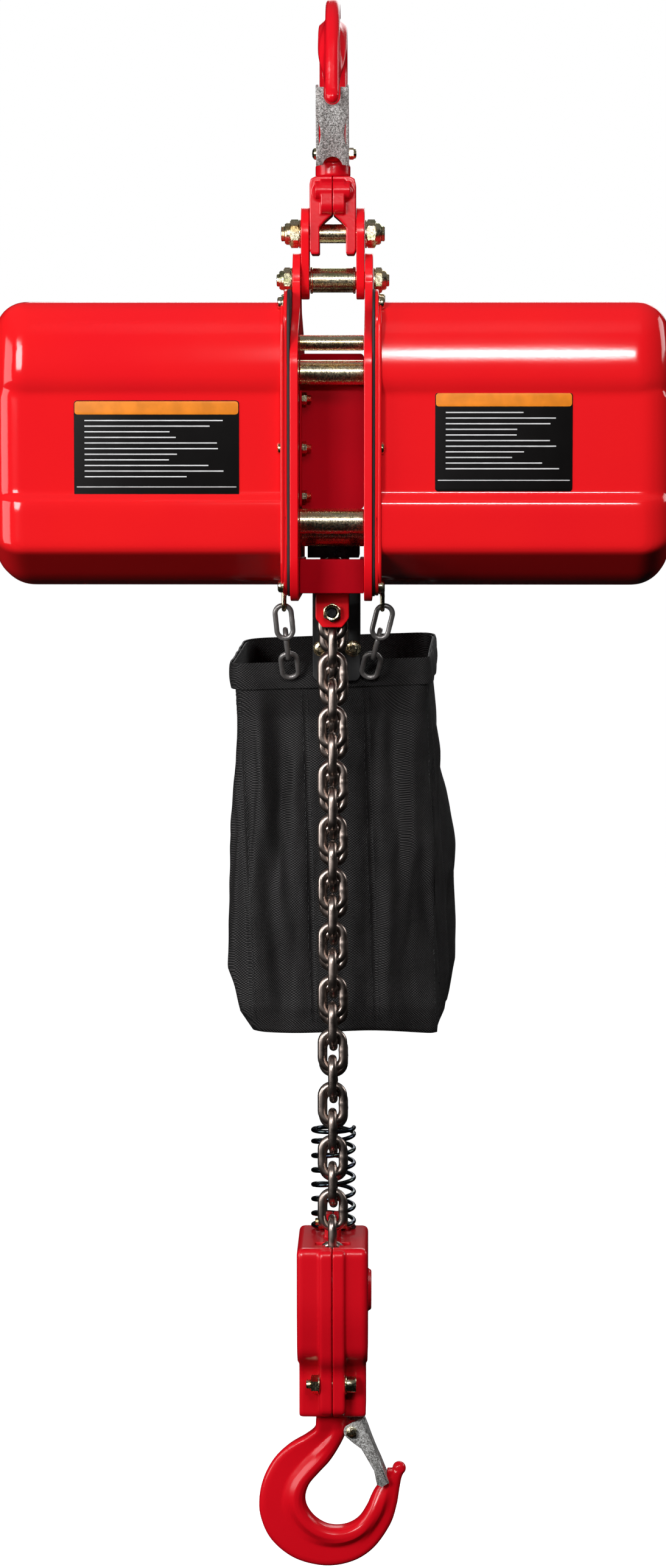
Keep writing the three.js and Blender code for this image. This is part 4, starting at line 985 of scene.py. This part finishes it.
def make_pins():
    for name, z, body, reach, nut in (
        ("upper", UPPER_PIN[2], "suspension_links", 24.2, (19, 12.4, 6, 40)),
        ("lower", LOWER_PIN[2], "hoist_frame", 30.7, (17, 10.2, 5, 43.5)),
    ):
        for side_name, side in (("left", -1), ("right", 1)):
            cad_node = f"{name}_pin_nut_{side_name}"
            low, high = span(cad_node)
            parts = pin_nut(side, z, min(abs(low[0]), abs(high[0])), *nut)
            piece(f"{name}_nut_{side_name}", parts, "zinc", body, cad_node)
        piece(f"{name}_pin_shank", [rod(7.3, -reach, reach, (0, 0, z), "X")], "zinc", body, f"{name}_pin")
    at = (0, 0, LOWER_PIN[2])
    parts = [tube_ring(7.6, 9.5, -17.6, 17.6, at, "X", chamfer=0.6)]
    parts += [tube_ring(7.6, 10.4, x - 1, x + 1, at, "X", chamfer=0.5) for x in (-16.5, 16.5)]
    piece("pin_sleeve", parts, "zinc", "suspension_links", "lower_pin_sleeve")


def two_discs(z0, r0, z1, r1):
    """The outline, as (y, z), of a link plate: a disc above, a disc below and straight sides."""
    lean = math.degrees(math.asin((r0 - r1) / (z0 - z1)))
    return [*arc((0, z0), r0, -lean, 180 + lean, 28), *arc((0, z1), r1, 180 + lean, 360 - lean, 24)]


def make_links():
    outline = two_discs(UPPER_PIN[2], 20, LOWER_PIN[2], 14.8)
    holes = [arc((0, z), 7.45, 0, 348.75, 31) for z in (UPPER_PIN[2], LOWER_PIN[2])]
    for name, (low, high) in (("left", (-24.4, -18.1)), ("right", (18.1, 24.4))):
        made = plate(f"link_{name}", [outline, *holes], low, high, "X", 0.8)
        finished(made, "plate", "suspension_links", f"link_plate_{name}", flat_faces=True)


# ------------------------------------------------------------------ body


def side_plate_outline():
    front, rear = PLATE_LOW[1], PLATE_HIGH[1]
    bottom = PLATE_LOW[2]
    ear = arc((0, LOWER_PIN[2]), 20.8, -9, 189, 32)
    rest = [(-30, -205), (front + 14, -226), (front, -240), (front, bottom + 22), (front + 14, bottom)]
    rest += [(rear - 14, bottom), (rear, bottom + 22), (rear, -240), (rear - 14, -226), (30, -205)]
    soft = rounded([ear[0], ear[-1], *rest], [0, 0, 10, 12, 12, 12, 12, 12, 12, 12, 12, 10], 6)
    return [*ear, *soft[14:]]


def make_side_plates():
    outline = side_plate_outline()
    motor = pivot("motor_spin")
    holes = [arc((0, LOWER_PIN[2]), 7.45, 0, 348.75, 31), arc((SHEAVE[1], SHEAVE[2]), 17, 0, 350, 35)]
    holes.append(arc((motor[1], motor[2]), 12.5, 0, 350, 35))
    for name, (low, high) in (("left", (-30.9, -24.7)), ("right", (24.7, 30.9))):
        made = plate(f"frame_plate_{name}", [outline, *holes], low, high, "X", 0.75)
        finished(made, "plate", "hoist_frame", f"side_plate_{name}", flat_faces=True)


COVER_TOP = -201.0
COVER_BOTTOM = -417.3
FLANGE_Y = (PLATE_LOW[1] + 3, PLATE_HIGH[1] - 3)
FLANGE_Z = (PLATE_LOW[2] + 4, -192.7)

# The long edges of a cover seen from its end, as (back from the front, away from the crease) and a rounding.
UPPER_EDGE = [(5, 0, 0), (0.4, 9, 5), (0, 20, 6), (1.6, 34, 7)]
UPPER_EDGE += [(5, 49, 7), (12, 64, 6), (19, 69, 3), (60, 70, 0)]
LOWER_EDGE = [(5, 0, 0), (1, 2.5, 1.5), (0, 9, 4), (0, 42, 6), (52, 65, 14), (95, 70.3, 0)]
MIDDLE_EDGE = [(5, 0, 0), (5, 46, 4), (60, 56, 6), (90, 57, 0)]


def bulge(edge, crease, side, front, rear, end, end_radius, steps=14):
    """A long swelling of a cover, from its crease up (side 1) or down (side -1), with a rounded outer end."""
    line = rounded([p[:2] for p in edge], [p[2] for p in edge], 6)
    height = edge[-1][1]
    stations = [(20, 0.0)]
    for t in np.linspace(0, HALF, steps + 1):
        stations.append((end - end_radius + end_radius * math.sin(t), end_radius * (1 - math.cos(t))))
    rings = []
    for x, inset in stations:
        shrunk = []
        for back, rise in line:
            shrunk.append((back * (1 - 0.5 * inset / end_radius) + inset, rise * (1 - inset / height)))
        ring = [(x, front + back, crease + side * rise) for back, rise in shrunk]
        ring += [(x, rear - back, crease + side * rise) for back, rise in reversed(shrunk)]
        rings.append(np.array(ring))
    return lofted(rings)


def cover_layer(name, y, z, radius, x, side, edge, material):
    """A flat layer of a cover's foot, between two X on its side."""
    outline = rounded_rectangle(y, z, radius, 12)
    made = plate(name, [outline], *sorted(side * end for end in x), "X", edge)
    finished(made, material, "hoist_frame", flat_faces=material == "cover")


def make_covers():
    front, rear = COVER_LOW[1], COVER_HIGH[1]
    end = COVER_HIGH[0]
    middle = (COVER_TOP + COVER_BOTTOM) / 2
    bars = [
        bulge(UPPER_EDGE, COVER_TOP - UPPER_EDGE[-1][1], 1, front, rear, end - 2, 25),
        bulge(LOWER_EDGE, COVER_BOTTOM + LOWER_EDGE[-1][1], -1, front, rear, end, 25),
        bulge(MIDDLE_EDGE, middle, 1, front, rear, end - 1, 22),
        bulge(MIDDLE_EDGE, middle, -1, front, rear, end - 1, 22),
    ]
    fillet = ((front - 1.4, rear + 1.4), (COVER_BOTTOM - 1.4, COVER_TOP + 1.4), 25)
    seal = ((FLANGE_Y[0] - 0.5, FLANGE_Y[1] + 0.5), (FLANGE_Z[0] - 0.5, FLANGE_Z[1] + 0.4), 26)
    for name, side in (("motor", -1), ("gear", 1)):
        parts = merged(*[mirrored(bar, side) for bar in bars])
        shell = melted(make_object(f"{name}_housing_shell", parts), 1.9, 5)
        carved(shell, mirrored(block((-60, 33), (-300, 300), (-500, -100)), side))
        finished(shell, "cover", "hoist_frame", f"{name}_cover", angle=60)
        cover_layer(f"{name}_flange", FLANGE_Y, FLANGE_Z, 26, (32.9, 35.6), side, 0.8, "cover")
        cover_layer(f"{name}_fillet", *fillet, (35, 38), side, 1.4, "cover")
        cover_layer(f"{name}_gasket", *seal, (30.95, 32.9), side, 0.5, "gasket")
        make_cover_screws(name, side)


def cover_screw(y, z, side):
    at = (0, y, z)
    washer = tube_ring(2.5, 5.6, 35.6, 36.6, at, "X", chamfer=0.3)
    head = turned([(0, 36.5), (4.6, 36.5), (4.75, 38), (4.3, 39.6), (3, 40.3), (0, 40.3)], at, "X")
    return [mirrored(washer, side), mirrored(head, side)]


def make_cover_screws(name, side):
    front, rear = FLANGE_Y
    places = [(front + 5.6, -311.7), (front + 12.5, -203), (front + 12.5, -415.5)]
    places += [(rear - 5.6, -311.7), (rear - 12.5, -203), (rear - 12.5, -415.5), (10, -197.2), (10, -420)]
    parts = [part for y, z in places for part in cover_screw(y, z, side)]
    piece(f"{name}_screws", parts, "fastener", "hoist_frame")


LABEL_ROW = 4.2


def label_layer(name, x, z, radius, steps, y, edge, material):
    """One flat layer of a rating plate, between two Y."""
    made = plate(name, [rounded_rectangle(x, z, radius, steps)], *y, "Y", edge)
    finished(made, material, "hoist_frame")


def label(name, x, z, y):
    """A rating plate with no writing: an orange head, a black body with plain pale bars, and a line below."""
    left, right = x
    low, high = z
    label_layer(f"{name}_plate", x, z, 2.5, 5, (y - 0.5, y + 0.6), 0.2, "label_black")
    head = ((left + 0.6, right - 0.6), (high - 10.5, high - 0.6), 2.2, 5)
    label_layer(f"{name}_head", *head, (y - 0.75, y), 0.1, "label_orange")
    line = ((left + 2, right - 2), (low + 8, low + 8.7), 0.3, 2)
    label_layer(f"{name}_line", *line, (y - 0.7, y), 0.1, "label_white")
    bars = []
    for i in range(int((high - low - 24) / LABEL_ROW)):
        length = (right - left - 15) * (0.55 + 0.42 * math.sin(2.4 * i + left) ** 2)
        top = high - 14.5 - LABEL_ROW * i
        bars.append(block((left + 8, left + 8 + length), (y - 0.62, y), (top - 0.9, top)))
    piece(f"{name}_bars", bars, "label_white", "hoist_frame")


def make_labels():
    face = COVER_LOW[1] + 5
    label("left_label", (-193, -69), (-349, -276), face)
    label("right_label", (78, 181), (-344, -270), face)


def make_gland():
    low, high = span("cable_gland")
    at = ((low[0] + high[0]) / 2, 0, (low[2] + high[2]) / 2)
    hexed = hexagon(24, low[1], low[1] + 8, at, "Y")
    ridges = [(0, low[1] + 7), (10.5, low[1] + 7)]
    for i in range(5):
        ridges += [(9.6, low[1] + 8.5 + 2 * i), (9.2, low[1] + 9.5 + 2 * i)]
    ridges += [(8.4, high[1] - 1.5), (7, high[1]), (0, high[1])]
    piece("gland", [hexed, turned(ridges, at, "Y")], "plastic", "hoist_frame", "cable_gland")


def make_rods():
    for name in ("tie_rod_top_front", "tie_rod_top_rear", "tie_rod_bottom_front", "tie_rod_bottom_rear"):
        low, high = span(name)
        at = (0, (low[1] + high[1]) / 2, (low[2] + high[2]) / 2)
        bar = rod((high[1] - low[1]) / 2, low[0], high[0], at, "X", 56, 0.6)
        piece(f"{name}_bar", [bar], "zinc", "hoist_frame", name)


def make_guard():
    low, high = span("guard_panel")
    outline = rounded_rectangle((low[0], high[0]), (low[2], high[2]), 3)
    # The sheet and its fold take the darker guard enamel, which is painted shade.
    sheet = plate("guard_sheet", [outline], -47.6, -46, "Y", 0.4)
    finished(sheet, "guard", "hoist_frame", "guard_panel", flat_faces=True)
    outline = rounded_rectangle((-62, -46.4), (-356, -268), 3)
    fold = plate("guard_fold", [outline], low[0], low[0] + 1.5, "X", 0.4)
    finished(fold, "guard", "hoist_frame", flat_faces=True)
    parts = []
    for z in (-274, -311, -348):
        at = (0, -55, z)
        parts.append(hexagon(8, low[0] + 1.5, low[0] + 5.5, at, "X"))
        parts.append(threaded(2.5, low[0] + 4, low[0] + 9, at, "X", 0.8, 0.6))
    piece("guard_bolts", parts, "fastener", "hoist_frame")


FORK_HALF = 12.7


def make_anchor():
    low, high = span("anchor_beam")
    fall_y = (span("dead_fall_1")[0][1] + span("dead_fall_1")[1][1]) / 2
    beam = make_object("anchor_bar", block((low[0], high[0]), (-62, 8), (-422, -396)))
    carved(beam, block((-21, 21), (-56, 14), (-418, -380)))
    carved(beam, block((-14, 14), (fall_y - 4.8, fall_y + 4.8), (-430, -412)))
    softened(beam, 0.8)
    # The bar takes the darker guard enamel, which is painted shade.
    finished(beam, "guard", "hoist_frame", "anchor_beam", slot="red_paint", flat_faces=True)
    head = rounded([(-12.9, -400), (-12.9, -442), (-7.5, -449), (7.5, -449), (12.9, -442), (12.9, -400)],
                   [0.5, 1.5, 1.5, 1.5, 1.5, 0.5], 4)
    fork = plate("anchor_fork", [head], fall_y - FORK_HALF, fall_y + FORK_HALF, "Y", 0.9)
    carved(fork, block((-30, 30), (fall_y - 4.75, fall_y + 4.75), (-460, -405)))
    carved(fork, block((-5, 5), (fall_y - 12.1, fall_y + 12.1), (-460, -431)))  # room for the second link
    carved(fork, rod(4.3, -20, 20, (0, fall_y, ANCHOR_BOLT[2]), "Y", 32))
    finished(fork, "plate", "hoist_frame", flat_faces=True)
    at = (0, 0, ANCHOR_BOLT[2])
    front, rear = fall_y - FORK_HALF - 0.1, fall_y + FORK_HALF + 0.1
    bolt = [rod(4, front - 8, rear + 2, at, "Y", 32, 0.8), hexagon(13, rear, rear + 5.5, at, "Y")]
    piece("anchor_screw", bolt, "black_steel", "hoist_frame", "anchor_bolt")
    ring = [(4.2, front - 7.6), (5.2, front - 7.8), (6, front - 7), (6.2, front - 5.6), (4.2, front - 5.6)]
    nut = [hexagon(13, front - 5.8, front, at, "Y", 4.2), turned(ring, at, "Y")]
    piece("anchor_locknut", nut, "fastener", "hoist_frame", "anchor_nut")


# ------------------------------------------------------------------ block


BLOCK_TOP = -932.0
BLOCK_SHOULDER = -1018.0
BLOCK_HALF = 27.6


def block_outlines():
    """The block seen from the side: its body, and the rib that runs round it at the joint."""
    top, shoulder, bottom, waist = BLOCK_TOP, BLOCK_SHOULDER, BLOCK_LOW[2], IDLER[2] - 10
    body = [(-50, top), (50, top), (50, waist), (43, shoulder), (24, shoulder - 14), (24, bottom)]
    body += [(-24, bottom), (-24, shoulder - 14), (-43, shoulder), (-50, waist)]
    rib = [(-53, top - 1), (53, top - 1), (53, waist), (46, shoulder - 4), (38, shoulder - 14)]
    rib += [(38, bottom + 4), (-38, bottom + 4), (-38, shoulder - 14), (-46, shoulder - 4), (-53, waist)]
    return rounded(body, [7, 7, 14, 8, 8, 5, 5, 8, 8, 14]), rounded(rib, [6, 6, 14, 10, 8, 8, 8, 8, 10, 14])


def block_hollows():
    """What is cut from a half of the block: the sheave's room, the chain's shafts and the hook's bore."""
    top, bottom, axle_z = BLOCK_TOP, BLOCK_LOW[2], IDLER[2]
    fall = (span("live_fall_1")[0][1] + span("live_fall_1")[1][1]) / 2
    tools = [block((26.2, 40), (-80, 80), (bottom - 5, BLOCK_SHOULDER - 8))]
    tools.append(rod(41.5, -1, 14.2, (0, 0, axle_z), "X", 64))
    for y in (-fall, fall):
        tools.append(block((-1, 13.4), (y - 5, y + 5), (axle_z, top + 30)))
        tools.append(block((-1, 5.2), (y - 13, y + 13), (axle_z, top + 30)))
    shank_end = BOTTOM_PLACE.translation[2] + SHANK_END
    hook_origin = shank_end - SHANK_END
    for radius, low, high in (
        (SHANK_RADIUS + 0.5, bottom - 5, shank_end),
        (14.1, bottom - 5, hook_origin + COLLAR[1] + 0.6),
        (15.2, shank_end - 10.5, shank_end + 1.5),
        (19, bottom - 5, hook_origin + COLLAR[0] + 0.8),
    ):
        tools.append(rod(radius, low, high, (0, 0, 0), "Z"))
    return [*tools, block((-15, 0.2), (-80, 80), (bottom - 10, top + 40))]


def make_block():
    body, rib = block_outlines()
    lug = (0, 0, BLOCK_TOP + 12)
    for name, side in (("left", -1), ("right", 1)):
        made = plate(f"block_casting_{name}", [body], -12, BLOCK_HALF, "X", 4.2)
        ridge = as_part(plate("ridge", [rib], -10, 10, "X", 2))
        carved(made, ridge, block((0, 6.5), (-7, 7), (BLOCK_TOP - 10, BLOCK_TOP + 19)), operation="UNION")
        if side > 0:
            boss = turned([(0, 20), (16.2, 20), (16.2, 29.4), (15, 30.4), (0, 30.4)], (0, 0, IDLER[2]), "X")
            carved(made, boss, operation="UNION")
        carved(made, *block_hollows())
        for vertex in made.data.vertices:
            vertex.co.x *= side
        finished(melted(made, 0.8, 5), "cast", "hook_block", f"block_half_{name}", angle=70)

    at = (0, -32, -1043)
    screw = [rod(4, -17.5, 11, at, "X", 32), tube_ring(4, 8, 9.9, 11, at, "X")]
    socket = [(0, 11), (6, 11), (6.5, 11.5), (6.5, 18), (6, 18.6), (3.4, 18.6), (3.4, 15), (0, 15)]
    screw.append(turned(socket, at, "X", 40))
    nut = [hexagon(13, -16.8, -10.6, at, "X"), tube_ring(4, 8.4, -11, -9.9, at, "X")]
    nut.append(threaded(4, -16, -20.6, at, "X"))
    piece("block_screw", screw + nut, "fastener", "hook_block", "block_bolt")
    small = [rod(3, -6.4, 6.4, lug, "X", 24), hexagon(10, 6.6, 11.4, lug, "X")]
    small += [hexagon(10, -11.6, -6.6, lug, "X"), threaded(3, -11, -14, lug, "X", 1.0, 0.6)]
    piece("lug_screw", small, "fastener", "hook_block")


def make_spring():
    low, high = span("buffer_spring")
    y = (low[1] + high[1]) / 2
    part = coil(16.2, 1.75, low[2], high[2], 8, (0, y, 0), "Z", 12, 36, 0.1)
    piece("coil_spring", [part], "spring", "hook_block", "buffer_spring")


# ------------------------------------------------------------------ chain bag

BAG_RINGS = 120
BAG_SIDES = 440
HEM = 22.0
RIM_FRONT = -484.0
FLOOR_SAG = 2.0
SEAMS = [((-77.5, -64.5), -1.5), ((-24.5, -15.7), 1.5), ((24.0, 34.0), 1.5)]  # at the hem and foot; depth

# The deeper folds of the front: X at the hem and foot, from and to as shares of the depth, width and depth.
FOLDS = [
    ((-46, -34), (0.05, 0.7), 8, 7.0),
    ((-62, -48), (0.02, 0.55), 7, -4.0),
    ((-70, -40), (0.45, 1.0), 7, 5.0),
    ((46, 52), (0.08, 0.62), 7, 6.0),
    ((66, 60), (0.05, 0.6), 7, -5.0),
    ((60, 82), (0.5, 0.98), 8, 7.0),
    ((40, 46), (0.55, 1.0), 8, -4.0),
]


def bag_corners(down):
    """The corners of the bag's outline, from the front left to the right round it, and their radii."""
    left = np.interp(down, [0, 0.08, 0.5, 0.83, 0.95, 1], [-82, -79.5, -83.5, -84, -77, -67])
    front_right = np.interp(down, [0, 0.5, 1], [75, 80, 83])
    rear_right = np.interp(down, [0, 0.08, 0.6, 0.85, 0.96, 1], [81, 80, 102, 102, 94, 84])
    front = np.interp(down, [0, 0.07, 0.15, 0.93, 1], [58.5, 61, 66.5, 66, 72])
    rear = np.interp(down, [0, 0.92, 1], [190, 190, 180])
    return [(left, front), (front_right, front), (rear_right, rear), (left + 8, rear)], [13, 7, 20, 18]


def bag_ring(down):
    """The bag's outline at a share of its depth below the rim, evenly spaced, with its folds."""
    corners, radii = bag_corners(down)
    outline = np.array(rounded(corners, radii, 10))
    closed = np.array([*outline, outline[0]])
    along = np.concatenate([[0], np.cumsum(np.linalg.norm(np.diff(closed, axis=0), axis=1))])
    even = np.linspace(0, along[-1], BAG_SIDES, endpoint=False)
    x, y = np.interp(even, along, closed[:, 0]), np.interp(even, along, closed[:, 1])
    centre = np.array([8.0, 125.0])
    out = np.stack([x, y], 1) - centre
    out /= np.linalg.norm(out, axis=1)[:, None]
    loose = min(1.0, max(0.0, (down - 0.07) * 5)) * min(1.0, (1.02 - down) * 6)
    for i, (a, b) in enumerate(zip(x, y)):
        fold = 8.5 * noise.noise(Vector((a * 0.03, b * 0.03, down * 2.2)))
        pleat = 4.2 * noise.noise(Vector((a * 0.075 + 9, b * 0.075, down * 3.4 + a * 0.01)))
        dent = 1.0 * noise.noise(Vector((a * 0.16, b * 0.16 + 4, down * 14)))
        on_strip = math.exp(-(((a - 4.5) / 24) ** 4)) if b < 80 else 0.0
        push = (fold + pleat + dent) * (1 - 0.7 * on_strip) * loose - 1.6 * loose
        x[i] += out[i, 0] * push
        y[i] += out[i, 1] * push
    for (high, low), (start, stop), width, depth in FOLDS:
        if start < down < stop:
            ridge = high + (low - high) * down
            reach = math.sin(math.pi * (down - start) / (stop - start))
            y = y + depth * reach * np.exp(-(((x - ridge) / width) ** 2)) * (y < 100)
    for (high, low), depth in SEAMS:
        seam = high + (low - high) * down
        groove = depth * np.exp(-(((x - seam) / 1.5) ** 2)) * (y < 100)
        y = y + groove * loose
    return x, np.maximum(y, 57.2)


def outward(ring):
    """For each point of a ring, the level direction away from the ring's middle."""
    out = ring - ring.mean(0)
    out[:, 2] = 0
    return out / np.linalg.norm(out, axis=1)[:, None]


def thickened(made, thickness, offset):
    cloth = made.modifiers.new("cloth", "SOLIDIFY")
    cloth.thickness = thickness * MM
    cloth.offset = offset
    return applied(made)


def bag_rings():
    bottom = BAG_LOW[2] + 1.5
    rings = []
    for down in np.arange(BAG_RINGS) / (BAG_RINGS - 1):
        x, y = bag_ring(down)
        rim = RIM_FRONT + 0.1 * (y - 58) + 0.035 * (x + 83)
        z = rim + (bottom + 1.2 * np.sin(x * 0.05) - rim) * down
        rings.append(np.stack([x, y, z], 1))
    return rings


def bag_shell(rings):
    """The bag's wall, with a floor that closes in rings towards its middle and sags a little."""
    count = BAG_SIDES
    points, faces = lofted(rings, closed_ends=False)
    last, layers, start = rings[-1], [points], len(points)
    centre = last.mean(0)
    previous = range((BAG_RINGS - 1) * count, BAG_RINGS * count)
    for step in (0.97, 0.85, 0.6, 0.3):
        ring = centre + (last - centre) * step
        ring[:, 2] -= FLOOR_SAG * (1 - step) ** 0.3
        layers.append(ring)
        numbers = range(start, start + count)
        for k in range(count):
            after = (k + 1) % count
            faces.append([previous[k], previous[after], numbers[after], numbers[k]])
        previous, start = numbers, start + count
    layers.append(centre[None, :] - (0, 0, FLOOR_SAG))
    faces += [[previous[k], previous[(k + 1) % count], start] for k in range(count)]
    return np.concatenate(layers), faces


def make_hem(rings):
    """The hem is turned over a cord, and stands a little proud of the wall."""
    foot = rings[int(HEM / 300 * BAG_RINGS)]
    layers = []
    for t in np.linspace(-0.06, 1, 9):
        ring = rings[0] + (foot - rings[0]) * t
        proud = 1.6 + 1.8 * math.sin(math.pi * min(1.0, max(0.0, t)) * 0.75) - (0.9 if t < 0 else 0)
        ripple = np.array([noise.noise(Vector((a * 0.06, b * 0.06, 3 + t))) for a, b, _ in ring])
        moved = ring + outward(ring) * (proud + ripple[:, None] * 1.2)
        moved[:, 1] = np.maximum(moved[:, 1], 55.6)
        layers.append(moved)
    hem = thickened(make_object("bag_hem", lofted(layers, closed_ends=False)), 1.1, 0)
    return finished(hem, "nylon", "hoist_frame", angle=80)


def make_stitches(rings):
    """Rows of stitches along the seams and the right edge, two in every three rings."""
    stitches = []
    for high, low in [line for line, _ in SEAMS] + [(75.5, 84.0)]:
        for offset in (-2.2, 2.2):
            for row in range(9, BAG_RINGS - 4):
                if row % 3 == 2:
                    continue
                x = high + (low - high) * (row / (BAG_RINGS - 1)) + offset
                start, below = nearest(rings[row], x), nearest(rings[row + 1], x)
                ends = [start + (0, -0.25, 0), start * 0.3 + below * 0.7 + (0, -0.25, 0)]
                stitches.append(swept(ends, 0.28, 6))
    return piece("bag_stitches", stitches, "thread", "hoist_frame")


def make_bag():
    rings = bag_rings()
    bag = thickened(make_object("fabric_bag", bag_shell(rings)), 1.2, -1)
    finished(bag, "nylon", "hoist_frame", "chain_bag", angle=80)
    pieces = [make_hem(rings), make_stitches(rings)]


def nearest(ring, x):
    """The point of the ring's front side that is nearest to an X."""
    front = ring[ring[:, 1] < 90]
    return front[np.argmin(np.abs(front[:, 0] - x))]


def make_bag_fixings():
    low, high = span("bag_bracket")
    outline = rounded_rectangle((low[0], high[0]), (low[2], high[2]), 5)
    tongue = plate("bracket_tongue", [outline], 50.2, 54.2, "Y", 0.8)
    foot = block((low[0], high[0]), (51, 76), (-408, -404))
    carved(tongue, foot, operation="UNION")
    finished(tongue, "bracket", "hoist_frame", "bag_bracket", flat_faces=True)
    bolts = []
    for x in (-10, 15):
        at = (x, 0, -470)
        bolts += [hexagon(10, 45.8, 50.2, at, "Y"), threaded(3, 46.5, 43, at, "Y", 1, 0.5)]
        bolts.append(tube_ring(3, 6.5, 49.2, 50.4, at, "Y"))
    piece("bracket_bolts", bolts, "fastener", "hoist_frame")
    for name, top_x, bottom_x in (("left", -38.4, -35.0), ("right", 38.4, 29.5)):
        low, high = np.array((top_x, 11.0, -447.0)), np.array((bottom_x, 43.0, -483.0))
        lean = math.atan2(high[1] - low[1], low[2] - high[2])
        twist = math.atan2(low[0] - high[0], low[2] - high[2])

        def place(i):
            x, y, z = low + (high - low) * i / 2
            return x, y, z, lean * (0.3, 1, 1)[i], twist

        part = chain_links(3, place, BAG_CHAIN)
        piece(f"{name}_bag_links", [part], "small_chain", "hoist_frame", f"bag_chain_{name}")
        shackle = mapped(chain_link(3.6, 14.0, 16.5), Matrix.Rotation(HALF, 4, "Z"))
        piece(f"{name}_bag_shackle", [shifted(shackle, (top_x, 10.5, -427.3))], "fastener", "hoist_frame")


# ------------------------------------------------------------------ assembly

INNER_MATERIALS = {
    "machined_steel": "machined",
    "cast_aluminium": "laminations",
    "laminations": "laminations",
    "black_steel": "black_steel",
    "black_plastic": "plastic",
    "chain_steel": "chain",
    "red_paint": "plate",
    # The guard enamel is darkened as painted shade.
    "dark_red_paint": "guard",
    "zinc_yellow": "zinc",
    "zinc_grey": "latch",
    "black_fabric": "nylon",
}


def dress_cad_nodes():
    """The CAD nodes that stay in view get the finish of their slot."""
    for part in frame["record"]["subparts"]:
        shape = frame["nodes"][part["node"]]
        finish = MATERIALS[INNER_MATERIALS[part["material_slot"]]]
        shape.data.materials.clear()
        shape.data.materials.append(finish)


ANCHOR_BOLT = (span("anchor_bolt")[0] + span("anchor_bolt")[1]) / 2
MATERIALS = make_materials()
make_camera()
make_world()
make_studio()
make_floor()
dress_cad_nodes()
make_load_chain()
make_hooks()
make_clevis()
make_pins()
make_links()
make_side_plates()
make_covers()
make_labels()
make_gland()
make_rods()
make_guard()
make_anchor()
make_block()
make_spring()
make_bag()
make_bag_fixings()
bpy.context.scene.view_settings.view_transform = "Standard"
